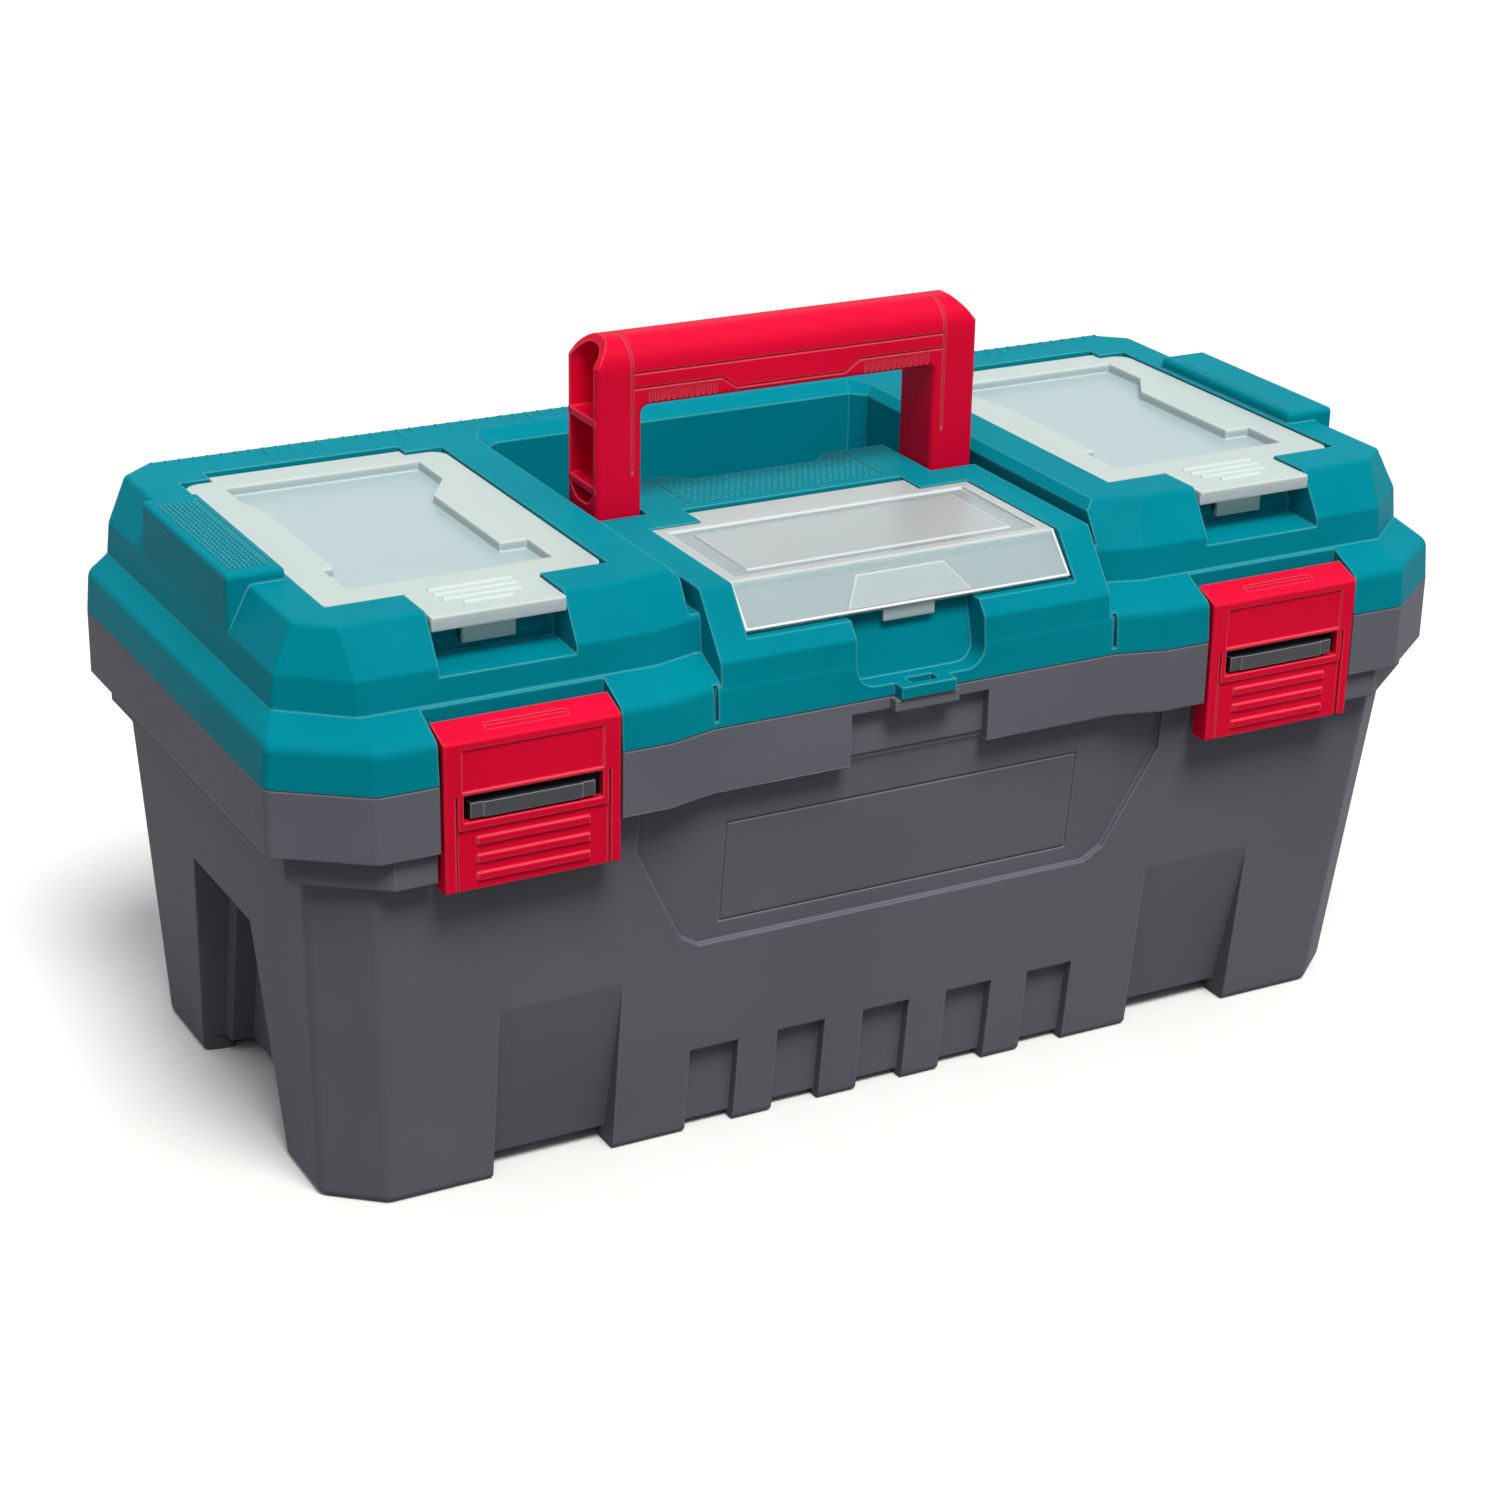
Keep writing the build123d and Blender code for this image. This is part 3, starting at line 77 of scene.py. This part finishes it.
# polypropylene moulded in a spark-textured tool
# the eye gets a dull sheen broken by fine grain, faint flow shades, a painted highlight that makes the edges
# paler than the faces and, where two halves of the tool met, a thin broken line of pale flash
def mouldedPolypropylene(look):
    material, tree = newMaterial(look["name"])
    place = addNode(tree, "ShaderNodeTexCoord").outputs["Object"]
    grain = addNode(tree, "ShaderNodeTexNoise", {
        "Vector": place, "Scale": 1 / (look["grainMm"] * mm), "Detail": 2.0, "Roughness": 0.55,
    }).outputs["Fac"]
    flow = addNode(tree, "ShaderNodeTexNoise", {
        "Vector": place, "Scale": 1 / (look["flowMm"] * mm), "Detail": 3.0, "Roughness": 0.5,
    }).outputs["Fac"]
    flowMask = addNode(tree, "ShaderNodeMapRange", {
        "Value": flow, "From Min": 0.35, "From Max": 0.65,
    }).outputs["Result"]
    tone = addNode(tree, "ShaderNodeMix", {
        "Factor": flowMask, "A": linear(look["deep"]), "B": linear(look["colour"]),
    }, data_type="RGBA")
    # painted highlight: where the surface turns within edgeMm, the colour is mixed towards the pale edge colour
    rounded = addNode(tree, "ShaderNodeBevel", {"Radius": look["edgeMm"] * mm}, samples=4).outputs["Normal"]
    flat = addNode(tree, "ShaderNodeNewGeometry").outputs["Normal"]
    turn = addNode(tree, "ShaderNodeVectorMath", {
        0: rounded, 1: flat,
    }, operation="DOT_PRODUCT").outputs["Value"]
    edge = addNode(tree, "ShaderNodeMapRange", {
        "Value": turn, "From Min": 0.99, "From Max": 0.80, "To Max": look["edgeShare"],
    }).outputs["Result"]
    colour = addNode(tree, "ShaderNodeMix", {
        "Factor": edge, "A": tone.outputs["Result"], "B": linear(look["edge"]),
    }, data_type="RGBA")
    # the flash line takes the same pale colour as the painted edge highlight
    height = addNode(tree, "ShaderNodeSeparateXYZ", {"Vector": place}).outputs["Z"]
    onLine = addNode(tree, "ShaderNodeMath", {
        0: height, 1: look["flashLevelMm"] * mm, 2: look["flashHalfMm"] * mm,
    }, operation="COMPARE").outputs["Value"]
    flashMask = addNode(tree, "ShaderNodeMapRange", {
        "Value": flow, "From Min": 0.42, "From Max": 0.52, "To Max": look["flashShare"],
    }).outputs["Result"]
    flash = addNode(tree, "ShaderNodeMath", {0: onLine, 1: flashMask}, operation="MULTIPLY").outputs["Value"]
    colour = addNode(tree, "ShaderNodeMix", {
        "Factor": flash, "A": colour.outputs["Result"], "B": linear(look["edge"]),
    }, data_type="RGBA")
    rough = addNode(tree, "ShaderNodeMapRange", {
        "Value": grain, "From Min": 0.3, "From Max": 0.7,
        "To Min": look["roughness"] - look["roughSpread"], "To Max": look["roughness"] + look["roughSpread"],
    }).outputs["Result"]
    bump = addNode(tree, "ShaderNodeBump", {
        "Height": grain, "Strength": look["grainStrength"], "Distance": look["grainDepthMm"] * mm,
        "Normal": rounded,
    }).outputs["Normal"]
    shader = addNode(tree, "ShaderNodeBsdfPrincipled", {
        "Base Color": colour.outputs["Result"], "Roughness": rough, "Normal": bump, "IOR": polypropyleneIor,
        "Specular IOR Level": look["gloss"], "Subsurface Weight": look["soak"],
        "Subsurface Radius": look["soakTint"], "Subsurface Scale": look["soakMm"] * mm,
    })
    addNode(tree, "ShaderNodeOutputMaterial", {"Surface": shader.outputs["BSDF"]})
    return material


# each look's pale edge colour is a painted highlight along the edges; the grey one also colours the flash line
tealLook = {
    "name": "mouldedTealPolypropylene", "colour": "#008a9b", "deep": "#008394", "edge": "#6fd0da",
    "edgeShare": 0.65, "edgeMm": 1.1, "roughness": 0.52, "roughSpread": 0.08, "gloss": 0.02,
    "soak": 0.0, "soakTint": (0.2, 1.0, 1.0), "soakMm": 1.0,
    "flashLevelMm": 0.0, "flashHalfMm": 0.0, "flashShare": 0.0,
    "grainMm": 0.9, "grainDepthMm": 0.10, "grainStrength": 0.6, "flowMm": 60,
}
greyLook = {
    "name": "mouldedGreyPolypropylene", "colour": "#696a73", "deep": "#64656e", "edge": "#a2a2aa",
    "edgeShare": 0.55, "edgeMm": 1.0, "roughness": 0.55, "roughSpread": 0.08, "gloss": 0.05,
    "soak": 0.0, "soakTint": (1.0, 1.0, 1.0), "soakMm": 1.0,
    "flashLevelMm": 132.0, "flashHalfMm": 0.45, "flashShare": 0.7,
    "grainMm": 0.9, "grainDepthMm": 0.05, "grainStrength": 0.45, "flowMm": 80,
}
redLook = {
    "name": "mouldedRedPolypropylene", "colour": "#e60838", "deep": "#de0634", "edge": "#ff8793",
    "edgeShare": 0.6, "edgeMm": 0.8, "roughness": 0.5, "roughSpread": 0.08, "gloss": 0.07,
    "soak": 0.35, "soakTint": (1.0, 0.06, 0.06), "soakMm": 3.0,
    "flashLevelMm": 0.0, "flashHalfMm": 0.0, "flashShare": 0.0,
    "grainMm": 0.9, "grainDepthMm": 0.06, "grainStrength": 0.5, "flowMm": 50,
}
# on the black bar the pale edge colour is partly real wear on its edges and partly painted highlight
blackLook = {
    "name": "mouldedBlackPolypropylene", "colour": "#303238", "deep": "#2a2c31", "edge": "#b4b7bb",
    "edgeShare": 0.85, "edgeMm": 0.6, "roughness": 0.42, "roughSpread": 0.08, "gloss": 0.5,
    "soak": 0.0, "soakTint": (1.0, 1.0, 1.0), "soakMm": 1.0,
    "flashLevelMm": 0.0, "flashHalfMm": 0.0, "flashShare": 0.0,
    "grainMm": 0.7, "grainDepthMm": 0.03, "grainStrength": 0.4, "flowMm": 30,
}
trayLook = {
    "name": "mouldedTrayPolypropylene", "colour": "#5c5d62", "deep": "#55565c", "edge": "#808186",
    "edgeShare": 0.45, "edgeMm": 0.8, "roughness": 0.5, "roughSpread": 0.08, "gloss": 0.3,
    "soak": 0.0, "soakTint": (1.0, 1.0, 1.0), "soakMm": 1.0,
    "flashLevelMm": 0.0, "flashHalfMm": 0.0, "flashShare": 0.0,
    "grainMm": 0.9, "grainDepthMm": 0.05, "grainStrength": 0.45, "flowMm": 70,
}


# natural polypropylene, moulded frosted on the rims and smoother in the panes
# the eye gets milky white rims, grey-blue panes that show the bin dimly, and bright edges, a painted near-white
# highlight where the plastic is also made less clear
def frostedPolypropylene(look):
    material, tree = newMaterial(look["name"])
    place = addNode(tree, "ShaderNodeTexCoord").outputs["Object"]
    height = addNode(tree, "ShaderNodeSeparateXYZ", {"Vector": place}).outputs["Z"]
    pane = addNode(tree, "ShaderNodeMapRange", {
        "Value": height, "From Min": look["rimLevelMm"] * mm, "From Max": look["paneLevelMm"] * mm,
    }).outputs["Result"]
    lip = addNode(tree, "ShaderNodeMapRange", {
        "Value": height, "From Min": look["lipLevelMm"] * mm,
        "From Max": (look["lipLevelMm"] - look["lipFadeMm"]) * mm,
        "To Min": 1.0, "To Max": 1.0 - look["lipShare"],
    }).outputs["Result"]
    pane = addNode(tree, "ShaderNodeMath", {0: pane, 1: lip}, operation="MULTIPLY").outputs["Value"]
    cloud = addNode(tree, "ShaderNodeTexNoise", {
        "Vector": place, "Scale": 1 / (look["cloudMm"] * mm), "Detail": 4.0, "Roughness": 0.6,
    }).outputs["Fac"]
    frost = addNode(tree, "ShaderNodeTexNoise", {
        "Vector": place, "Scale": 1 / (look["frostMm"] * mm), "Detail": 2.0,
    }).outputs["Fac"]
    paneTone = addNode(tree, "ShaderNodeMix", {
        "Factor": cloud, "A": linear(look["paneDeep"]), "B": linear(look["pane"]),
    }, data_type="RGBA")
    tone = addNode(tree, "ShaderNodeMix", {
        "Factor": pane, "A": linear(look["rim"]), "B": paneTone.outputs["Result"],
    }, data_type="RGBA")
    # painted highlight: where the surface turns within edgeMm, the colour goes near-white and the plastic less
    # clear
    rounded = addNode(tree, "ShaderNodeBevel", {"Radius": look["edgeMm"] * mm}, samples=4).outputs["Normal"]
    flat = addNode(tree, "ShaderNodeNewGeometry").outputs["Normal"]
    turn = addNode(tree, "ShaderNodeVectorMath", {
        0: rounded, 1: flat,
    }, operation="DOT_PRODUCT").outputs["Value"]
    edge = addNode(tree, "ShaderNodeMapRange", {
        "Value": turn, "From Min": 0.99, "From Max": 0.85, "To Max": look["edgeShare"],
    }).outputs["Result"]
    colour = addNode(tree, "ShaderNodeMix", {
        "Factor": edge, "A": tone.outputs["Result"], "B": linear(look["edge"]),
    }, data_type="RGBA")
    clear = addNode(tree, "ShaderNodeMapRange", {
        "Value": edge, "From Max": look["edgeShare"],
        "To Min": look["clearness"], "To Max": look["edgeClearness"],
    }).outputs["Result"]
    rough = addNode(tree, "ShaderNodeMapRange", {
        "Value": pane, "To Min": look["rimRoughness"], "To Max": look["paneRoughness"],
    }).outputs["Result"]
    bump = addNode(tree, "ShaderNodeBump", {
        "Height": frost, "Strength": 0.35, "Distance": look["frostDepthMm"] * mm, "Normal": rounded,
    }).outputs["Normal"]
    shader = addNode(tree, "ShaderNodeBsdfPrincipled", {
        "Base Color": colour.outputs["Result"], "Roughness": rough, "Normal": bump, "IOR": polypropyleneIor,
        "Transmission Weight": clear,
    })
    addNode(tree, "ShaderNodeOutputMaterial", {"Surface": shader.outputs["BSDF"]})
    return material


# the near-white edge colour of the covers is a painted highlight
sideCoverLook = {
    "name": "frostedCoverPolypropylene", "rim": "#d6e5e2", "pane": "#c8dce0", "paneDeep": "#b9d1d7",
    "edge": "#fdffff", "edgeShare": 0.95, "edgeMm": 1.3, "rimRoughness": 0.5, "paneRoughness": 0.32,
    "clearness": 0.30, "edgeClearness": 0.05, "frostMm": 0.9, "frostDepthMm": 0.04, "cloudMm": 18,
    "rimLevelMm": 199.0, "paneLevelMm": 197.2, "lipLevelMm": 195.8, "lipFadeMm": 1.0, "lipShare": 0.9,
}
tabRibLook = dict(
    sideCoverLook, name="frostedRibPolypropylene", rim="#dbe8e5", edgeShare=0.25, edgeMm=0.6, clearness=0.1,
)
centreCoverLook = {
    "name": "clearCoverPolypropylene", "rim": "#eef6f4", "pane": "#cde0e4", "paneDeep": "#bfd6db",
    "edge": "#fdffff", "edgeShare": 0.95, "edgeMm": 1.3, "rimRoughness": 0.4, "paneRoughness": 0.26,
    "clearness": 0.55, "edgeClearness": 0.05, "frostMm": 0.9, "frostDepthMm": 0.03, "cloudMm": 18,
    "rimLevelMm": 194.4, "paneLevelMm": 193.8, "lipLevelMm": 192.6, "lipFadeMm": 1.0, "lipShare": 0.25,
}
clipLook = dict(
    centreCoverLook, name="frostedClipPolypropylene", pane="#d0e0e3", paneDeep="#c8dade", clearness=0.45,
)
# near-white pane colour for the lip strip: a painted highlight
edgeLook = dict(
    centreCoverLook, name="paintedLipHighlightPolypropylene", pane="#fbffff", paneDeep="#f4fbfb", clearness=0.1,
)


# zinc-plated steel wire, drawn and cut: a dull grey metal with fine lines round the pin
def platedSteel(look):
    material, tree = newMaterial(look["name"])
    place = addNode(tree, "ShaderNodeTexCoord").outputs["Object"]
    stretched = addNode(tree, "ShaderNodeMapping", {
        "Vector": place, "Scale": (1.0, look["lineStretch"], look["lineStretch"]),
    }).outputs["Vector"]
    draw = addNode(tree, "ShaderNodeTexNoise", {
        "Vector": stretched, "Scale": 1 / (look["lineMm"] * mm), "Detail": 2.0,
    }).outputs["Fac"]
    colour = addNode(tree, "ShaderNodeMix", {
        "Factor": draw, "A": linear(look["deep"]), "B": linear(look["colour"]),
    }, data_type="RGBA")
    rough = addNode(tree, "ShaderNodeMapRange", {
        "Value": draw,
        "To Min": look["roughness"] - look["roughSpread"], "To Max": look["roughness"] + look["roughSpread"],
    }).outputs["Result"]
    shader = addNode(tree, "ShaderNodeBsdfPrincipled", {
        "Base Color": colour.outputs["Result"], "Roughness": rough, "Metallic": 1.0,
    })
    addNode(tree, "ShaderNodeOutputMaterial", {"Surface": shader.outputs["BSDF"]})
    return material


steelLook = {
    "name": "zincPlatedSteel", "colour": "#c9cacb", "deep": "#a9abad", "roughness": 0.36, "roughSpread": 0.1,
    "lineMm": 0.4, "lineStretch": 0.08,
}

teal = mouldedPolypropylene(tealLook)
grey = mouldedPolypropylene(greyLook)
red = mouldedPolypropylene(redLook)
black = mouldedPolypropylene(blackLook)
trayGrey = mouldedPolypropylene(trayLook)
sideFrost = frostedPolypropylene(sideCoverLook)
ribFrost = frostedPolypropylene(tabRibLook)
centreFrost = frostedPolypropylene(centreCoverLook)
clipFrost = frostedPolypropylene(clipLook)
edgeFrost = frostedPolypropylene(edgeLook)
steel = platedSteel(steelLook)

finishes = {
    "base_tub": grey, "lid_shell": teal, "carry_handle": red, "latch_left": red, "latch_right": red,
    "catch_bar_left": black, "catch_bar_right": black, "cover_left": sideFrost, "cover_right": sideFrost,
    "cover_centre": centreFrost, "tote_tray": trayGrey,
}
for name, node in nodes.items():
    finish = finishes.get(name, steel)
    for materialSlot in node.material_slots:
        materialSlot.material = finish
print("finishes on", len(nodes), "nodes")


# makes an object of a bmesh, with its finish and body
def placePiece(bm, name, material, body):
    bmesh.ops.recalc_face_normals(bm, faces=bm.faces)
    mesh = bpy.data.meshes.new(name)
    bm.to_mesh(mesh)
    bm.free()
    mesh.materials.append(material)
    piece = bpy.data.objects.new(name, mesh)
    scene.collection.objects.link(piece)
    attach(piece, body)


# a low bar with its top drawn in, sunk a little into what carries it
def addBar(bm, length, width, rise, sink, drawIn, place):
    made = bmesh.ops.create_cube(bm, size=1.0)["verts"]
    bmesh.ops.scale(bm, vec=(length, width, rise + sink), verts=made)
    top = [v for v in made if v.co.z > 0]
    shrink = ((length - 2 * drawIn) / length, (width - 2 * drawIn) / width, 1.0)
    bmesh.ops.scale(bm, vec=shrink, verts=top)
    bmesh.ops.translate(bm, vec=Vector(place) + Vector((0, 0, (rise - sink) / 2)), verts=made)


# knurled top of the left end pad: rows of pips; the right pad is smooth
padKnurl = {
    "inner": 196.2, "outer": 209.0, "front": -32.5, "back": 36.5, "top": 204.5,
    "pitchX": 1.6, "pitchY": 2.5, "pip": (1.15, 1.5), "rise": 0.6, "sink": 0.2, "drawIn": 0.25,
}
bm = bmesh.new()
columns = int((padKnurl["outer"] - padKnurl["inner"]) / padKnurl["pitchX"])
rows = int((padKnurl["back"] - padKnurl["front"]) / padKnurl["pitchY"])
for row in range(rows):
    for column in range(columns):
        pipX = -(padKnurl["inner"] + (column + 0.5) * padKnurl["pitchX"])
        pipY = padKnurl["front"] + (row + 0.5) * padKnurl["pitchY"]
        addBar(bm, padKnurl["pip"][0] * mm, padKnurl["pip"][1] * mm, padKnurl["rise"] * mm,
               padKnurl["sink"] * mm, padKnurl["drawIn"] * mm, Vector((pipX, pipY, padKnurl["top"])) * mm)
placePiece(bm, "pad_knurl", teal, "lid")

# knurled strip between the handle legs
stripKnurl = {
    "half": 36.0, "middleHalf": 22.5, "front": -10.5, "middleBack": 11.5, "back": 17.5, "top": 195.0,
    "columnStart": 0.25, "slopeRoom": 2.0,
    "pitchX": 2.4, "pitchY": 2.2, "pip": (1.6, 1.0), "rise": 0.3, "sink": 0.2, "drawIn": 0.25,
}
bm = bmesh.new()
columns = int(2 * stripKnurl["half"] / stripKnurl["pitchX"])
rows = int((stripKnurl["back"] - stripKnurl["front"]) / stripKnurl["pitchY"])
for row in range(rows):
    pipY = stripKnurl["front"] + (row + 0.5) * stripKnurl["pitchY"]
    shift = stripKnurl["pitchX"] / 2 * (row % 2)
    for column in range(columns):
        pipX = shift + (column + stripKnurl["columnStart"]) * stripKnurl["pitchX"] - stripKnurl["half"]
        step = pipY - stripKnurl["middleBack"]
        if step > 0 and abs(pipX) < stripKnurl["middleHalf"] + step + stripKnurl["slopeRoom"]:
            continue
        addBar(bm, stripKnurl["pip"][0] * mm, stripKnurl["pip"][1] * mm, stripKnurl["rise"] * mm,
               stripKnurl["sink"] * mm, stripKnurl["drawIn"] * mm, Vector((pipX, pipY, stripKnurl["top"])) * mm)
placePiece(bm, "strip_knurl", teal, "lid")

# measuring ticks moulded along the back edge of the lid, 5 mm apart and longer at every tenth
ruler = {
    "start": -202.0, "step": 5.0, "count": 81, "long": 10, "back": 91.6, "shortTick": 3.0, "longTick": 7.0,
    "width": 0.9, "rise": 0.4, "sink": 0.2, "drawIn": 0.15, "top": 200.5, "halfSpan": 196.0,
}
bm = bmesh.new()
for index in range(ruler["count"]):
    tickX = ruler["start"] + index * ruler["step"]
    if abs(tickX) > ruler["halfSpan"]:
        continue
    tick = ruler["longTick"] if index % ruler["long"] == 0 else ruler["shortTick"]
    addBar(bm, ruler["width"] * mm, tick * mm, ruler["rise"] * mm, ruler["sink"] * mm, ruler["drawIn"] * mm,
           Vector((tickX, ruler["back"] - tick / 2, ruler["top"])) * mm)
placePiece(bm, "back_ruler", teal, "lid")

# grip ribs on the finger tabs of the side covers
tabRibs = {
    "centre": 141.5, "first": -63.4, "pitch": 4.7, "lengths": (29.0, 29.0, 27.0, 17.0), "width": 1.7,
    "rise": 0.7, "sink": 0.3, "drawIn": 0.35, "top": 199.6,
}
for side, hand in ((-1, "left"), (1, "right")):
    bm = bmesh.new()
    for index, length in enumerate(tabRibs["lengths"]):
        ribY = tabRibs["first"] - index * tabRibs["pitch"]
        addBar(bm, length * mm, tabRibs["width"] * mm, tabRibs["rise"] * mm, tabRibs["sink"] * mm,
               tabRibs["drawIn"] * mm, Vector((side * tabRibs["centre"], ribY, tabRibs["top"])) * mm)
    placePiece(bm, "tab_ribs_" + hand, ribFrost, "cover_" + hand)

# the lip of the centre cover, from its fold to its nose
lip = {"fold": (-83.5, 194.5), "nose": (-95.2, 181.7), "half": 61.0, "proud": 0.12}
foldAt, noseAt = (Vector((0.0, *lip[k])) for k in ("fold", "nose"))
inward = Vector((1.0, 0.0, 0.0)).cross(noseAt - foldAt).normalized()


# a plate just proud of the lip; each corner is a place across the lip and a share of the way down it
def addLipPlate(bm, corners, thick):
    outline = []
    for across, share in corners:
        corner = foldAt.lerp(noseAt, share) + Vector((across, 0.0, 0.0)) - inward * lip["proud"]
        outline.append(bm.verts.new(corner * mm))
    plate = bm.faces.new(outline)
    pushed = bmesh.ops.extrude_face_region(bm, geom=[plate])["geom"]
    moved = [v for v in pushed if isinstance(v, bmesh.types.BMVert)]
    bmesh.ops.translate(bm, vec=inward * thick * mm, verts=moved)


# thick root of the snap under the lip, a paler patch
lipClip = {"topShare": 0.27, "lowShare": 0.94, "topHalf": 16.5, "lowHalf": 23.5, "thick": 2.0}
bm = bmesh.new()
addLipPlate(bm, (
    (-lipClip["topHalf"], lipClip["topShare"]), (lipClip["topHalf"], lipClip["topShare"]),
    (lipClip["lowHalf"], lipClip["lowShare"]), (-lipClip["lowHalf"], lipClip["lowShare"]),
), lipClip["thick"])
placePiece(bm, "lip_clip", clipFrost, "cover_centre")

# near-white strip along the rounded edge of the lip: a painted highlight, the white line into which light
# gathers down both sides and along the nose
lipHighlight = {"width": 0.9, "thick": 1.0}
lowShare = 1.0 - lipHighlight["width"] / (noseAt - foldAt).length
bm = bmesh.new()
addLipPlate(bm, (
    (-lip["half"], lowShare), (lip["half"], lowShare), (lip["half"], 1.0), (-lip["half"], 1.0),
), lipHighlight["thick"])
for side in (-1, 1):
    outer, inner = side * lip["half"], side * (lip["half"] - lipHighlight["width"])
    addLipPlate(bm, ((outer, 0.0), (inner, 0.0), (inner, lowShare), (outer, lowShare)), lipHighlight["thick"])
placePiece(bm, "lip_edge", edgeFrost, "cover_centre")
print("knurls, ticks, tab ribs and lip plates made")

# floor, pale and matt to the eye, which keeps the shadow and throws little light back up
floorLook = {
    "name": "paleStudioFloor", "colour": "#fbfbfb", "deep": "#f8f8f8", "unseen": "#858585",
    "sizeM": 9.0, "mottleMm": 300,
}
floorMaterial, tree = newMaterial(floorLook["name"])
place = addNode(tree, "ShaderNodeTexCoord").outputs["Object"]
mottle = addNode(tree, "ShaderNodeTexNoise", {
    "Vector": place, "Scale": 1 / (floorLook["mottleMm"] * mm),
}).outputs["Fac"]
floorTone = addNode(tree, "ShaderNodeMix", {
    "Factor": mottle, "A": linear(floorLook["deep"]), "B": linear(floorLook["colour"]),
}, data_type="RGBA")
floorTone = addNode(tree, "ShaderNodeMix", {
    "Factor": seenByEye(tree), "A": linear(floorLook["unseen"]), "B": floorTone.outputs["Result"],
}, data_type="RGBA")
floorShader = addNode(tree, "ShaderNodeBsdfDiffuse", {"Color": floorTone.outputs["Result"]})
addNode(tree, "ShaderNodeOutputMaterial", {"Surface": floorShader.outputs["BSDF"]})
bm = bmesh.new()
bmesh.ops.create_grid(bm, x_segments=1, y_segments=1, size=floorLook["sizeM"])
floorMesh = bpy.data.meshes.new("studio_floor")
bm.to_mesh(floorMesh)
bm.free()
floorMesh.materials.append(floorMaterial)
floor = bpy.data.objects.new("studio_floor", floorMesh)
scene.collection.objects.link(floor)

# world: a soft dome for light, brighter overhead, and white where the eye sees it
domeLook = {"colour": "#fbfcff", "zenith": 0.70, "horizon": 0.08, "backdrop": 1.0}
world = bpy.data.worlds.new("studioDome")
world.use_nodes = True
world.node_tree.nodes.clear()
tree = world.node_tree
towards = addNode(tree, "ShaderNodeTexCoord").outputs["Generated"]
rise = addNode(tree, "ShaderNodeSeparateXYZ", {"Vector": towards}).outputs["Z"]
level = addNode(tree, "ShaderNodeMapRange", {
    "Value": rise, "To Min": domeLook["horizon"], "To Max": domeLook["zenith"],
}).outputs["Result"]
dome = addNode(tree, "ShaderNodeBackground", {"Color": linear(domeLook["colour"]), "Strength": level})
backdrop = addNode(tree, "ShaderNodeBackground", {"Color": linear("#ffffff"), "Strength": domeLook["backdrop"]})
mixed = addNode(tree, "ShaderNodeMixShader", {
    0: seenByEye(tree), 1: dome.outputs["Background"], 2: backdrop.outputs["Background"],
})
addNode(tree, "ShaderNodeOutputWorld", {"Surface": mixed.outputs["Shader"]})
scene.world = world

# key light: one wide soft source high in front
keyLook = {"azimuth": -4.0, "elevation": 60.0, "strength": 2.75, "spread": 24.0, "colour": "#fffdf8"}
keyLamp = bpy.data.lights.new("key_light", "SUN")
keyLamp.energy = keyLook["strength"]
keyLamp.angle = math.radians(keyLook["spread"])
keyLamp.color = linear(keyLook["colour"])[:3]
key = bpy.data.objects.new("key_light", keyLamp)
keyAzimuth, keyElevation = math.radians(keyLook["azimuth"]), math.radians(keyLook["elevation"])
towardsKey = Vector((math.sin(keyAzimuth) * math.cos(keyElevation),
                     -math.cos(keyAzimuth) * math.cos(keyElevation), math.sin(keyElevation)))
key.rotation_euler = towardsKey.to_track_quat("Z", "Y").to_euler()
scene.collection.objects.link(key)
print("floor, dome and key light set")

# camera at the photograph's angle
cameraLook = {
    "azimuth": -28.605, "elevation": 22.82, "roll": 1.118, "distanceMm": 1221.78, "acrossMm": -4.266,
    "upMm": 86.521, "focalPixels": 3318.937, "framePixels": 1500, "sensorMm": 36.0,
}
turnA, turnE, turnR = (math.radians(cameraLook[k]) for k in ("azimuth", "elevation", "roll"))
back = Vector((math.sin(turnA) * math.cos(turnE), -math.cos(turnA) * math.cos(turnE), math.sin(turnE)))
right = Vector((math.cos(turnA), math.sin(turnA), 0.0))
up = back.cross(right)
camRight = right * math.cos(turnR) + up * math.sin(turnR)
camUp = up * math.cos(turnR) - right * math.sin(turnR)
eye = camRight * cameraLook["acrossMm"] + camUp * cameraLook["upMm"] + back * cameraLook["distanceMm"]
cameraData = bpy.data.cameras.new("photo_camera")
cameraData.sensor_width = cameraLook["sensorMm"]
cameraData.lens = cameraLook["focalPixels"] / cameraLook["framePixels"] * cameraLook["sensorMm"]
camera = bpy.data.objects.new("photo_camera", cameraData)
axes = Matrix((camRight, camUp, back)).transposed().to_4x4()
camera.matrix_world = Matrix.Translation(eye * mm) @ axes
scene.collection.objects.link(camera)
scene.camera = camera
print("camera set")

bpy.context.view_layer.update()
